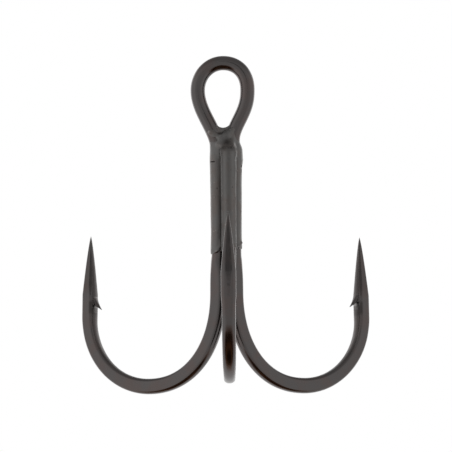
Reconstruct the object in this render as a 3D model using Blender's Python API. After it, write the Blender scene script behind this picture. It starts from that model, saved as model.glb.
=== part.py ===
"""Treble fishing hook: a double hook wire bent round its eye, a single hook wire laid
against it, and the braze that joins the two.

Metres, Z up, origin at the centre of the round part of the eye.  The shank axis runs
straight down from the eye, the single hook points to -Y, and the two hooks of the
double wire stand 120 degrees to either side of it.
"""

import math

import bmesh
import bpy
from mathutils import Matrix, Vector

MM = 0.001

# Overall size, from which the heights below are taken.
OVERALL_LENGTH = 35.05 * MM
WIRE_DIAMETER = 1.5 * MM
WIRE_RADIUS = WIRE_DIAMETER / 2

# Eye: a pear-shaped loop of the double wire, seen along Y.
EYE_HALF_WIDTH = 2.59 * MM
EYE_RISE = 2.85 * MM
EYE_DROP = 6.60 * MM
EYE_OFFSET = -0.29 * MM
EYE_POWERS = {"left": 2.0, "right": 2.2}
NECK_LENGTH = 1.30 * MM
NECK_DROP = EYE_DROP - NECK_LENGTH
NECK_INSET = 0.07 * MM
NECK_POWER = 1.22
EYE_TOP = EYE_RISE + WIRE_RADIUS

# Shank: the three wires lie side by side round the shank axis.
FIT_GAP = 0.03 * MM
LEG_GAP = 0.09 * MM
PACKED_PITCH = WIRE_DIAMETER + LEG_GAP
SIDE_LEG_OUT = PACKED_PITCH / 2
SIDE_LEG_BACK = SIDE_LEG_OUT * math.tan(math.radians(30))
SIDE_LEG_RADIUS = math.hypot(SIDE_LEG_OUT, SIDE_LEG_BACK)
FRONT_LEG_SHIFT = 0.27 * MM
FRONT_LEG_OUT = math.sqrt(PACKED_PITCH**2 - (SIDE_LEG_OUT - FRONT_LEG_SHIFT) ** 2) - SIDE_LEG_BACK
SHANK_SPREAD = 0.10 * MM

# Hook profile in the plane of one hook: distance out from the shank axis, and height
# above the outer face of the bend.
GAPE_OUT = 16.55 * MM
BEND_OUT = 9.05 * MM
BEND_START_HEIGHT = 10.40 * MM
GAPE_HEIGHT = 8.15 * MM
POINT_HEIGHT = 16.86 * MM
POINT_OUT = 16.37 * MM
SHANK_BEND_POWER = 2.18
POINT_BEND_POWER = 2.02

# Forged section: width in the plane of the hook, thickness across it, each set by how
# far the dies move the round wire.
BEND_WIDTH = WIRE_DIAMETER + 0.12 * MM
BEND_START_THICKNESS = WIRE_DIAMETER - 0.12 * MM
BEND_THICKNESS = WIRE_DIAMETER - 0.34 * MM
LEG_WIDTH = WIRE_DIAMETER - 0.05 * MM
LEG_THICKNESS = WIRE_DIAMETER - 0.09 * MM
BARB_THICKNESS = WIRE_DIAMETER + 0.06 * MM
ROUND_POWER = 2.0
FORGED_POWER = 2.9

# Point and barb, measured back from the tip along the wire.
TAPER_LENGTH = 6.2 * MM
TAPER_POWER = 0.75
TIP_RADIUS = 0.03 * MM
BARB_START = 6.70 * MM
BARB_TIP = 7.60 * MM
BARB_PROUD = 0.50 * MM
BARB_ROOT_WIDTH = 1.10 * MM
BARB_TIP_WIDTH = 0.55 * MM
NOTCH_DEPTH = 0.24 * MM
NOTCH_APEX = 7.34 * MM
NOTCH_END = 8.40 * MM

# Single wire and braze.  Heights are measured down from the eye centre; they follow the
# place where the legs close under the eye, and the start of the bend.
SINGLE_TOP_DROP = EYE_DROP - 0.23 * MM
BRAZE_TOP_DROP = EYE_DROP - 1.50 * MM
CROTCH_DROP = EYE_DROP - 2.55 * MM
CROTCH_RADIUS = 0.56 * MM
WEB_TOP_DROP = CROTCH_DROP - 0.25 * MM
WEB_HALF_THICKNESS = 0.58 * MM
BARE_LEG = 4.05 * MM
BRAZE_LIP = 0.30 * MM
BRAZE_EDGE_TILT = 0.27 * MM
COAT_TOP = 0.14 * MM
COAT_MIDDLE = 0.04 * MM
COAT_END = 0.07 * MM
COAT_EDGE = 0.03 * MM
BRAZE_CORE = 1.10 * MM
BRAZE_BLEND = 14.0

# Facets.
SECTION_POINTS = 16
BRAZE_POINTS = 36
BEND_STEPS = 15
EYE_STEPS = 14
NECK_STEPS = 12
POINT_STEPS = 9
LEG_STEPS = 3
TURN_STEPS = 5

AXIS_X = -EYE_OFFSET
AXIS_Y = -SIDE_LEG_BACK
BEND_FLOOR = EYE_TOP - OVERALL_LENGTH
CENTRELINE_BOTTOM = BEND_FLOOR + BEND_WIDTH / 2
BEND_START_DROP = -(BEND_FLOOR + BEND_START_HEIGHT)
BRAZE_END_DROP = BEND_START_DROP - BARE_LEG
HOOK_ANGLES = {"left": 150.0, "right": 30.0, "front": -91.2}
HOOK_AXIS_SHIFT = {"left": 0.0, "right": 0.0, "front": FRONT_LEG_SHIFT}
UP = Vector((0.0, 0.0, 1.0))


def clear_scene():
    """Remove whatever the startup scene holds."""
    for obj in list(bpy.data.objects):
        bpy.data.objects.remove(obj, do_unlink=True)


def new_collection(name, helper=False):
    """A collection under the scene; helpers stay out of renders."""
    collection = bpy.data.collections.new(name)
    bpy.context.scene.collection.children.link(collection)
    collection.hide_render = helper
    return collection


def metal(name, colour, roughness):
    """A bare metal finish."""
    material = bpy.data.materials.new(name)
    material.use_nodes = True
    shader = material.node_tree.nodes["Principled BSDF"]
    shader.inputs["Base Color"].default_value = (*colour, 1.0)
    shader.inputs["Metallic"].default_value = 1.0
    shader.inputs["Roughness"].default_value = roughness
    return material


def black_nickel_wire():
    """Dark plated steel wire."""
    return metal("black_nickel_plate", (0.085, 0.080, 0.076), 0.30)


def black_nickel_single():
    """The same plate over the single wire."""
    return metal("black_nickel_plate_single", (0.090, 0.084, 0.080), 0.30)


def plated_braze():
    """Plated brazing metal, a little rougher than the wire."""
    return metal("plated_braze", (0.110, 0.100, 0.092), 0.38)


def smooth(low, high, value):
    """0 below low, 1 above high, and an S curve between."""
    t = min(1.0, max(0.0, (value - low) / (high - low)))
    return t * t * (3.0 - 2.0 * t)


def mix(a, b, t):
    """Straight blend of a to b."""
    return a + (b - a) * t


def cosine(a, b, t):
    """Blend that leaves a and reaches b with no slope."""
    return mix(b, a, 0.5 * (1.0 + math.cos(math.pi * t)))


def quarter(start, end, power, steps, turn_first):
    """Points of a quarter of a superellipse between two (out, height) points."""
    points = []
    for i in range(1, steps + 1):
        angle = 0.5 * math.pi * i / steps
        near = math.cos(angle) ** (2.0 / power) if i < steps else 0.0
        far = math.sin(angle) ** (2.0 / power)
        if turn_first:
            points.append((mix(start[0], end[0], far), mix(end[1], start[1], near)))
        else:
            points.append((mix(end[0], start[0], near), mix(start[1], end[1], far)))
    return points


def hook_profile(shank_out):
    """Centreline of one hook from the bend start to the tip, as (out, height)."""
    start = (shank_out, BEND_FLOOR + BEND_START_HEIGHT)
    bottom = (BEND_OUT, CENTRELINE_BOTTOM)
    side = (GAPE_OUT, BEND_FLOOR + GAPE_HEIGHT)
    tip = (POINT_OUT, BEND_FLOOR + POINT_HEIGHT)
    points = [start]
    points += quarter(start, bottom, SHANK_BEND_POWER, BEND_STEPS, False)
    points += quarter(bottom, side, POINT_BEND_POWER, BEND_STEPS, True)
    leg = math.dist(side, tip)
    taper_from = 1.0 - TAPER_LENGTH / leg
    for i in range(1, LEG_STEPS + 1):
        t = taper_from * i / LEG_STEPS
        points.append((mix(side[0], tip[0], t), mix(side[1], tip[1], t)))
    for i in range(1, POINT_STEPS + 1):
        t = 1.0 - (1.0 - taper_from) * (1.0 - i / POINT_STEPS) ** 1.6
        points.append((mix(side[0], tip[0], t), mix(side[1], tip[1], t)))
    return points


def lengths_from_tip(points):
    """Distance of each point from the last one, along the line."""
    found = [0.0]
    for a, b in zip(reversed(points[:-1]), reversed(points[1:])):
        found.append(found[-1] + math.dist(a, b))
    return found[::-1]


def point_scale(from_tip):
    """Size of the ground point against the full section."""
    if from_tip >= TAPER_LENGTH:
        return 1.0
    least = TIP_RADIUS / (LEG_WIDTH / 2)
    return max(least, (from_tip / TAPER_LENGTH) ** TAPER_POWER)


def hook_section(from_tip, out):
    """(width, thickness, power) of the wire at one place of a hook."""
    sinking = smooth(0.0, BEND_OUT, out)
    rising = smooth(BEND_OUT, GAPE_OUT, out)
    bulge = 1.0 - smooth(NOTCH_END, NOTCH_END + WIRE_DIAMETER, from_tip)
    width = mix(BEND_WIDTH, LEG_WIDTH, rising)
    bend_thickness = mix(BEND_START_THICKNESS, BEND_THICKNESS, sinking)
    thickness = mix(mix(bend_thickness, LEG_THICKNESS, rising), BARB_THICKNESS, bulge)
    power = mix(ROUND_POWER, FORGED_POWER, smooth(0.0, 0.5, 0.4 + sinking))
    scale = point_scale(from_tip)
    return width * scale, thickness * scale, power


def hook_axis(name):
    """Where a hook's own plane meets the shank."""
    return Vector((AXIS_X + HOOK_AXIS_SHIFT[name], AXIS_Y, 0.0))


def plane_of(angle):
    """(outward, across) directions of a hook standing at this angle round the shank."""
    turn = math.radians(angle)
    outward = Vector((math.cos(turn), math.sin(turn), 0.0))
    across = Vector((-math.sin(turn), math.cos(turn), 0.0))
    return outward, across if across.y < 0.0 or angle < 0.0 else -across


def station(centre, across, width, thickness, power):
    """One place on a wire's path."""
    return {
        "centre": centre,
        "across": across,
        "width": width,
        "thickness": thickness,
        "power": power,
    }


def hook_stations(name, shank_out):
    """Stations of one hook from the bend start to the tip."""
    outward, across = plane_of(HOOK_ANGLES[name])
    axis = hook_axis(name)
    profile = hook_profile(shank_out)
    found = []
    for (out, height), from_tip in zip(profile, lengths_from_tip(profile)):
        section = hook_section(from_tip, out)
        found.append(station(axis + outward * out + UP * height, across, *section))
    return found


def leg_offset(side, drop):
    """X of one leg of the double wire at a depth below the eye centre."""
    sign = -1.0 if side == "left" else 1.0
    leg = AXIS_X + sign * SIDE_LEG_OUT
    if drop <= 0.0:
        return sign * EYE_HALF_WIDTH * math.sqrt(max(0.0, 1.0 - (drop / EYE_RISE) ** 2))
    if side == "left":
        return cosine(-EYE_HALF_WIDTH, leg, min(1.0, drop / EYE_DROP))
    neck = leg - NECK_INSET
    if drop < NECK_DROP:
        return cosine(EYE_HALF_WIDTH, neck, (drop / NECK_DROP) ** NECK_POWER)
    return cosine(neck, leg, min(1.0, (drop - NECK_DROP) / (EYE_DROP - NECK_DROP)))


def loop_stations(side):
    """Stations of half the eye, from just past its top down to the straight leg."""
    sign = -1.0 if side == "left" else 1.0
    across = Vector((0.0, -1.0, 0.0))
    found = []
    for i in range(1, EYE_STEPS // 2 + 1):
        angle = 0.5 * math.pi * i / (EYE_STEPS // 2)
        power = 2.0 / EYE_POWERS[side]
        x = sign * EYE_HALF_WIDTH * math.sin(angle) ** power
        z = EYE_RISE * max(0.0, math.cos(angle)) ** power
        centre = Vector((x, 0.0, z))
        found.append(station(centre, across, WIRE_DIAMETER, WIRE_DIAMETER, ROUND_POWER))
    for i in range(1, NECK_STEPS + 1):
        drop = EYE_DROP * i / NECK_STEPS
        centre = Vector((leg_offset(side, drop), 0.0, -drop))
        found.append(station(centre, across, WIRE_DIAMETER, WIRE_DIAMETER, ROUND_POWER))
    return found


def side_leg_stations(name):
    """Stations of a straight leg, turning the section from the eye plane to the hook's."""
    outward, across = plane_of(HOOK_ANGLES[name])
    axis = hook_axis(name)
    eye_across = Vector((0.0, -1.0, 0.0))
    below = BRAZE_END_DROP + BRAZE_LIP
    found = []
    for i in range(1, TURN_STEPS + 1):
        drop = mix(EYE_DROP, below, i / TURN_STEPS)
        turned = eye_across.lerp(across, i / TURN_STEPS).normalized()
        centre = axis + outward * SIDE_LEG_RADIUS - UP * drop
        found.append(station(centre, turned, WIRE_DIAMETER, WIRE_DIAMETER, ROUND_POWER))
    return found + forging_stations(name, SIDE_LEG_RADIUS, SIDE_LEG_RADIUS + SHANK_SPREAD)


def forging_stations(name, leg_out, bend_out):
    """Stations below the braze, over which the round wire turns to the forged section."""
    outward, across = plane_of(HOOK_ANGLES[name])
    axis = hook_axis(name)
    below = BRAZE_END_DROP + BRAZE_LIP
    forged = hook_section(OVERALL_LENGTH, bend_out)
    found = []
    for step in (1, 2, 3):
        t = step / 4
        drop = mix(below, BEND_START_DROP, t)
        share = smooth(0.0, 0.75, t)
        section = [
            mix(plain, shaped, share)
            for plain, shaped in zip((WIRE_DIAMETER, WIRE_DIAMETER, ROUND_POWER), forged)
        ]
        centre = axis + outward * mix(leg_out, bend_out, t) - UP * drop
        found.append(station(centre, across, *section))
    return found


def double_stations():
    """The whole double wire from the left tip, over the eye, to the right tip."""
    shank_out = SIDE_LEG_RADIUS + SHANK_SPREAD
    halves = {}
    for side in ("left", "right"):
        halves[side] = loop_stations(side) + side_leg_stations(side)
        halves[side] += hook_stations(side, shank_out)
    top = station(
        Vector((0.0, 0.0, EYE_RISE)),
        Vector((0.0, -1.0, 0.0)),
        WIRE_DIAMETER,
        WIRE_DIAMETER,
        ROUND_POWER,
    )
    return halves["left"][::-1] + [top] + halves["right"]


def single_stations():
    """The single wire from its cut top end to its tip."""
    outward, across = plane_of(HOOK_ANGLES["front"])
    axis = hook_axis("front")
    found = []
    corner = 0.12 * WIRE_DIAMETER
    for drop, inset in (
        (SINGLE_TOP_DROP, 2.0 * corner),
        (SINGLE_TOP_DROP + 0.35 * corner, 0.8 * corner),
        (SINGLE_TOP_DROP + corner, 0.0),
        (BRAZE_END_DROP + BRAZE_LIP, 0.0),
    ):
        size = WIRE_DIAMETER - inset
        centre = axis + outward * FRONT_LEG_OUT - UP * drop
        found.append(station(centre, across, size, size, ROUND_POWER))
    bend_out = FRONT_LEG_OUT + SHANK_SPREAD
    found += forging_stations("front", FRONT_LEG_OUT, bend_out)
    return found + hook_stations("front", bend_out)


def ring_points(place, tangent, grow):
    """Points of a wire's section at one station."""
    across = (place["across"] - tangent * place["across"].dot(tangent)).normalized()
    inward = across.cross(tangent).normalized()
    points = []
    for i in range(SECTION_POINTS):
        angle = 2.0 * math.pi * i / SECTION_POINTS
        c, s = math.cos(angle), math.sin(angle)
        along = math.copysign(abs(c) ** (2.0 / place["power"]), c)
        side = math.copysign(abs(s) ** (2.0 / place["power"]), s)
        reach = inward * along * (place["width"] / 2 + grow)
        points.append(place["centre"] + reach + across * side * (place["thickness"] / 2 + grow))
    return points


def loft(name, rings):
    """A closed solid through rings of equal count, capped at both ends."""
    mesh = bpy.data.meshes.new(name)
    bm = bmesh.new()
    rows = [[bm.verts.new(point) for point in ring] for ring in rings]
    count = len(rings[0])
    for lower, upper in zip(rows, rows[1:]):
        for i in range(count):
            j = (i + 1) % count
            bm.faces.new((lower[i], lower[j], upper[j], upper[i]))
    for row in (rows[0], rows[-1]):
        centre = sum((vert.co for vert in row), Vector()) / count
        hub = bm.verts.new(centre)
        for i in range(count):
            bm.faces.new((row[i], row[(i + 1) % count], hub))
    bmesh.ops.recalc_face_normals(bm, faces=bm.faces)
    bm.to_mesh(mesh)
    bm.free()
    return bpy.data.objects.new(name, mesh)


def wire(name, stations, grow=0.0):
    """A wire lofted along its stations, its surface moved out by grow."""
    centres = [place["centre"] for place in stations]
    rings = []
    for i, place in enumerate(stations):
        before = centres[max(0, i - 1)]
        after = centres[min(len(centres) - 1, i + 1)]
        rings.append(ring_points(place, (after - before).normalized(), grow))
    if grow:
        for row, end, inner in ((0, centres[0], centres[1]), (-1, centres[-1], centres[-2])):
            push = (end - inner).normalized() * grow
            rings[row] = [point + push for point in rings[row]]
    return loft(name, rings)


def prism(name, section, half_widths, place_point):
    """A solid from a flat section, widened about the hook plane by each corner's width."""
    rings = []
    for sign in (-1.0, 1.0):
        ring = []
        for corner, half in zip(section, half_widths):
            ring.append(place_point(corner[0], corner[1], sign * half))
        rings.append(ring)
    return loft(name, rings)


def barb_frame(hook):
    """Turns (from tip, proud of the inner face, across) into a point in space."""
    outward, across = plane_of(HOOK_ANGLES[hook])
    axis = hook_axis(hook)
    tip = axis + outward * POINT_OUT + UP * (BEND_FLOOR + POINT_HEIGHT)
    side = axis + outward * GAPE_OUT + UP * (BEND_FLOOR + GAPE_HEIGHT)
    down = (side - tip).normalized()
    inward = down.cross(across).normalized()
    if inward.dot(outward) > 0.0:
        inward = -inward
    face = LEG_WIDTH / 2

    def place_point(from_tip, proud, sideways):
        return tip + down * from_tip + inward * (face + proud) + across * sideways

    return place_point


def barb_shapes(name):
    """The raised sliver of a barb, and the notch left behind it."""
    place_point = barb_frame(name)
    root, end = BARB_ROOT_WIDTH / 2, BARB_TIP_WIDTH / 2
    sliver = prism(
        f"{name}_barb",
        (
            (BARB_START - 0.3 * BARB_PROUD, -0.5 * BARB_PROUD),
            (BARB_START, 0.0),
            (BARB_TIP, BARB_PROUD),
            (BARB_TIP, 0.8 * BARB_PROUD),
            (NOTCH_APEX + 0.3 * NOTCH_DEPTH, -NOTCH_DEPTH),
        ),
        (root, root, end, end, root),
        place_point,
    )
    reach = WIRE_DIAMETER
    notch = prism(
        f"{name}_notch",
        (
            (NOTCH_APEX, -NOTCH_DEPTH),
            (BARB_TIP + 0.1 * BARB_PROUD, 0.75 * BARB_PROUD),
            (NOTCH_END, 0.75 * BARB_PROUD),
            (NOTCH_END, 0.02 * BARB_PROUD),
        ),
        (reach, reach, reach, reach),
        place_point,
    )
    return sliver, notch


def operate(target, helper, operation, collection, solver="EXACT"):
    """Join a helper to a target, or cut the target with it."""
    collection.objects.link(helper)
    helper.hide_render = True
    helper.display_type = "WIRE"
    modifier = target.modifiers.new(helper.name, "BOOLEAN")
    modifier.object = helper
    modifier.operation = operation
    modifier.solver = solver


def add_barb(target, name, collection):
    """Raise a barb on one hook."""
    sliver, notch = barb_shapes(name)
    operate(target, sliver, "UNION", collection)
    operate(target, notch, "DIFFERENCE", collection)


def exit_distance(centre, radius, direction):
    """How far a ray from the shank axis runs before it leaves a circle; 0 if it misses."""
    along = centre[0] * direction[0] + centre[1] * direction[1]
    off = centre[0] * direction[1] - centre[1] * direction[0]
    if abs(off) >= radius:
        return 0.0
    return max(0.0, along + math.sqrt(radius**2 - off**2))


def braze_ring(drop, lobes, core, tilt):
    """One level of the braze: the outline of the wires with the grooves filled."""
    ring = []
    middle_x = 0.5 * (leg_offset("left", drop) + leg_offset("right", drop))
    for i in range(BRAZE_POINTS):
        angle = 2.0 * math.pi * i / BRAZE_POINTS
        direction = (math.cos(angle), math.sin(angle))
        reaches = [core]
        for centre, radius in lobes:
            reaches.append(exit_distance(centre, radius, direction))
        reach = sum(value**BRAZE_BLEND for value in reaches) ** (1.0 / BRAZE_BLEND)
        height = tilt * direction[0] - drop
        ring.append(
            Vector((middle_x + reach * direction[0], AXIS_Y + reach * direction[1], height))
        )
    return ring


def level_stretch(side, drop):
    """How much wider a slanting leg is on a level cut than square to its length."""
    step = 0.1 * WIRE_DIAMETER
    lean = (leg_offset(side, drop + step) - leg_offset(side, drop - step)) / (2.0 * step)
    return math.hypot(1.0, lean)


def lobes_at(drop, side_radius, front_radius):
    """(centre, radius) of the braze round each wire at this depth."""
    half = 0.5 * (leg_offset("right", drop) - leg_offset("left", drop))
    return (
        ((-half, SIDE_LEG_BACK), side_radius * level_stretch("left", drop)),
        ((half, SIDE_LEG_BACK), side_radius * level_stretch("right", drop)),
        ((FRONT_LEG_SHIFT, -FRONT_LEG_OUT), front_radius),
    )


def braze_body():
    """The braze over the shank, closing over the end of the single wire."""
    clear = WIRE_RADIUS + FIT_GAP
    cap_drop = SINGLE_TOP_DROP - 4.0 * FIT_GAP
    middle = 0.5 * (SINGLE_TOP_DROP + BRAZE_END_DROP)
    step = 0.12 * WIRE_DIAMETER
    levels = (
        (BRAZE_TOP_DROP, COAT_EDGE, 0.0, 0.7, 0.0),
        (mix(BRAZE_TOP_DROP, cap_drop, 0.6), 0.5 * COAT_TOP, 0.0, 0.8, 0.0),
        (cap_drop, 0.7 * COAT_TOP, 0.75 * clear, 0.9, 0.0),
        (cap_drop + step, 0.8 * COAT_TOP, clear + 0.8 * COAT_TOP, 1.0, 0.0),
        (cap_drop + WIRE_DIAMETER, COAT_TOP, clear + COAT_TOP, 1.0, 0.0),
        (mix(SINGLE_TOP_DROP, middle, 0.6), COAT_MIDDLE, clear + COAT_MIDDLE, 1.0, 0.0),
        (mix(middle, BRAZE_END_DROP, 0.5), COAT_MIDDLE, clear + COAT_MIDDLE, 1.0, 0.0),
        (BRAZE_END_DROP - BRAZE_LIP, COAT_END, clear + COAT_END, 1.0, BRAZE_EDGE_TILT),
        (BRAZE_END_DROP, COAT_EDGE, clear + COAT_EDGE, 0.9, BRAZE_EDGE_TILT),
    )
    rings = []
    for drop, coat, front_radius, core, tilt in levels:
        lobes = lobes_at(drop, clear + coat, front_radius)
        rings.append(braze_ring(drop, lobes, core * BRAZE_CORE, tilt))
    return loft("braze_joint", rings)


def crotch_web():
    """The braze standing between the two legs under the eye."""
    rings = []
    steps = 5
    for i in range(steps + 1):
        drop = mix(WEB_TOP_DROP, SINGLE_TOP_DROP + WIRE_RADIUS, i / steps)
        left, right = leg_offset("left", drop), leg_offset("right", drop)
        half_y = mix(WEB_HALF_THICKNESS, 0.75 * WEB_HALF_THICKNESS, i / steps)
        ring = []
        for k in range(SECTION_POINTS):
            angle = 2.0 * math.pi * (k + 0.5) / SECTION_POINTS
            x = 0.5 * (left + right) + 0.5 * (right - left) * math.cos(angle)
            ring.append(Vector((x, half_y * math.sin(angle), -drop)))
        rings.append(ring)
    return loft("crotch_web", rings)


def crotch_cutter():
    """A bar across the wires that leaves the rounded bottom of the eye."""
    bm = bmesh.new()
    bmesh.ops.create_cone(
        bm,
        cap_ends=True,
        segments=24,
        radius1=CROTCH_RADIUS,
        radius2=CROTCH_RADIUS,
        depth=4.0 * WIRE_DIAMETER,
    )
    middle = 0.5 * (leg_offset("left", CROTCH_DROP) + leg_offset("right", CROTCH_DROP))
    place = Matrix.Translation((middle, 0.0, CROTCH_RADIUS - CROTCH_DROP))
    bm.transform(place @ Matrix.Rotation(math.radians(90.0), 4, "X"))
    mesh = bpy.data.meshes.new("crotch_round")
    bm.to_mesh(mesh)
    bm.free()
    return bpy.data.objects.new("crotch_round", mesh)


def build_double(parts, helpers):
    """The double hook wire with its two barbs."""
    body = wire("double_hook_wire", double_stations())
    body.data.materials.append(black_nickel_wire())
    parts.objects.link(body)
    for side in ("left", "right"):
        add_barb(body, side, helpers)


def build_single(parts, helpers):
    """The single hook wire with its barb."""
    body = wire("single_hook_wire", single_stations())
    body.data.materials.append(black_nickel_single())
    parts.objects.link(body)
    add_barb(body, "front", helpers)


def build_braze(parts, helpers):
    """The braze, with the wires' own shapes taken out of it."""
    body = braze_body()
    body.data.materials.append(plated_braze())
    parts.objects.link(body)
    # The braze lies so close along the wires that EXACT loses it; every mesh here is closed.
    for helper, operation in (
        (crotch_web(), "UNION"),
        (crotch_cutter(), "DIFFERENCE"),
        (wire("double_clear", double_stations(), FIT_GAP), "DIFFERENCE"),
        (wire("single_clear", single_stations(), FIT_GAP), "DIFFERENCE"),
    ):
        operate(body, helper, operation, helpers, solver="MANIFOLD")


def main():
    """Build the treble hook."""
    clear_scene()
    parts = new_collection("treble_hook")
    helpers = new_collection("cutters", helper=True)
    build_double(parts, helpers)
    build_single(parts, helpers)
    build_braze(parts, helpers)


main()
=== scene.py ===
"""Treble fishing hook, finished: plated wires with ground points and cut barbs, and the
braze that holds the single hook against the double one.

Metres, Z up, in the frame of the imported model.  Each sub-assembly is a class that holds
its sizes, builds its mesh and dresses it; each finish is a small class of its own.
"""

import logging
import math
from dataclasses import dataclass, field
from enum import Enum
from typing import Any, Callable

import bmesh
import bpy
import numpy as np
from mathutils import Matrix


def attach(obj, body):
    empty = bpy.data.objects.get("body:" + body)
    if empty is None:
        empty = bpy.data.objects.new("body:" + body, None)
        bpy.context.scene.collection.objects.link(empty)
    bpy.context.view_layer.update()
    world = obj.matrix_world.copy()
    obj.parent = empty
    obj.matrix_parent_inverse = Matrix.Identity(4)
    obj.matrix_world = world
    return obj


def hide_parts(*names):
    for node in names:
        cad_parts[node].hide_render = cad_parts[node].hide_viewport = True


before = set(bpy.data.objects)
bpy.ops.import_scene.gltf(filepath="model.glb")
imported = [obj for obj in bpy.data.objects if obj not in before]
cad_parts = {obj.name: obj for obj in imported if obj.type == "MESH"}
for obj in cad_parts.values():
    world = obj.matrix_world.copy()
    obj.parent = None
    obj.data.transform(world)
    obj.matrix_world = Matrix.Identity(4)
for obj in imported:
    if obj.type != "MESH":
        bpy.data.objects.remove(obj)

import openvdb
from mathutils import Matrix, Vector, kdtree, noise

LOG = logging.getLogger("treble_hook")
MM = 0.001
UP = np.array((0.0, 0.0, 1.0))
TO_FRONT = np.array((0.0, -1.0, 0.0))

Array = np.ndarray
Number = float | Array


# --- numbers and curves -------------------------------------------------------------


def mix(a: Any, b: Any, t: Any) -> Any:
    """Straight blend of a to b."""
    return a + (b - a) * t


def smooth(low: float, high: float, value: Number) -> Number:
    """0 below low, 1 above high, and an S curve between."""
    t = np.clip((value - low) / (high - low), 0.0, 1.0)
    return t * t * (3.0 - 2.0 * t)


def hump(value: Array, centre: float, half: float) -> Array:
    """1 at the centre, falling away on both sides like a bell of this half width."""
    return np.exp(-(((value - centre) / half) ** 2))


def cosine(a: Number, b: Number, t: Number) -> Number:
    """Blend that leaves a and reaches b with no slope."""
    return mix(b, a, 0.5 * (1.0 + np.cos(np.pi * t)))


def unit(vectors: Array) -> Array:
    """The vectors at length one."""
    return vectors / np.linalg.norm(vectors, axis=-1, keepdims=True)


def union(a: Array, b: Array, blend: float) -> Array:
    """Distance field of two shapes joined, with a fillet of about this size."""
    h = np.maximum(blend - np.abs(a - b), 0.0) / blend
    return np.minimum(a, b) - 0.25 * blend * h * h


def common(a: Array, b: Array, blend: float) -> Array:
    """Distance field of what two shapes share, with the edge rounded."""
    return -union(-a, -b, blend)


def carved(a: Array, b: Array, blend: float) -> Array:
    """Distance field of a with b taken out, the rim rounded."""
    return common(a, -b, blend)


# --- names --------------------------------------------------------------------------


class Hook(Enum):
    """The three hooks, each with the angle at which its plane stands round the shank."""

    LEFT = 150.15
    RIGHT = 29.85
    FRONT = -91.2

    @property
    def hand(self) -> float:
        """-1 for the left hook, 1 for the right one."""
        return -1.0 if self is Hook.LEFT else 1.0

    @property
    def lift(self) -> float:
        """How far this point stands above its usual height, as bent by hand."""
        return {Hook.LEFT: 0.13 * MM, Hook.RIGHT: -0.13 * MM}.get(self, 0.0)

    @property
    def barb_slip(self) -> float:
        """How much further from the tip than usual this hook's barb was cut."""
        return {Hook.LEFT: 0.18 * MM, Hook.RIGHT: -0.24 * MM}.get(self, 0.0)

    @property
    def outward(self) -> Array:
        """Direction from the shank to the point."""
        turn = math.radians(self.value)
        return np.array((math.cos(turn), math.sin(turn), 0.0))

    @property
    def across(self) -> Array:
        """Direction square to the hook's plane, with the gape to the same hand on each."""
        turn = math.radians(self.value)
        square = np.array((-math.sin(turn), math.cos(turn), 0.0))
        return -square if self is not Hook.LEFT else square


class Surface(Enum):
    """Names of the measures that each mesh carries for its finish."""

    STRAIGHT = "straightened"
    RIDGE = "ridge"
    # Painted shade in hollows, creases, grooves, inside the bends and in the barb notches, which also
    # makes the plate rougher there.
    HOLLOW = "hollow"
    GROUND = "ground"


# --- sizes --------------------------------------------------------------------------


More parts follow.
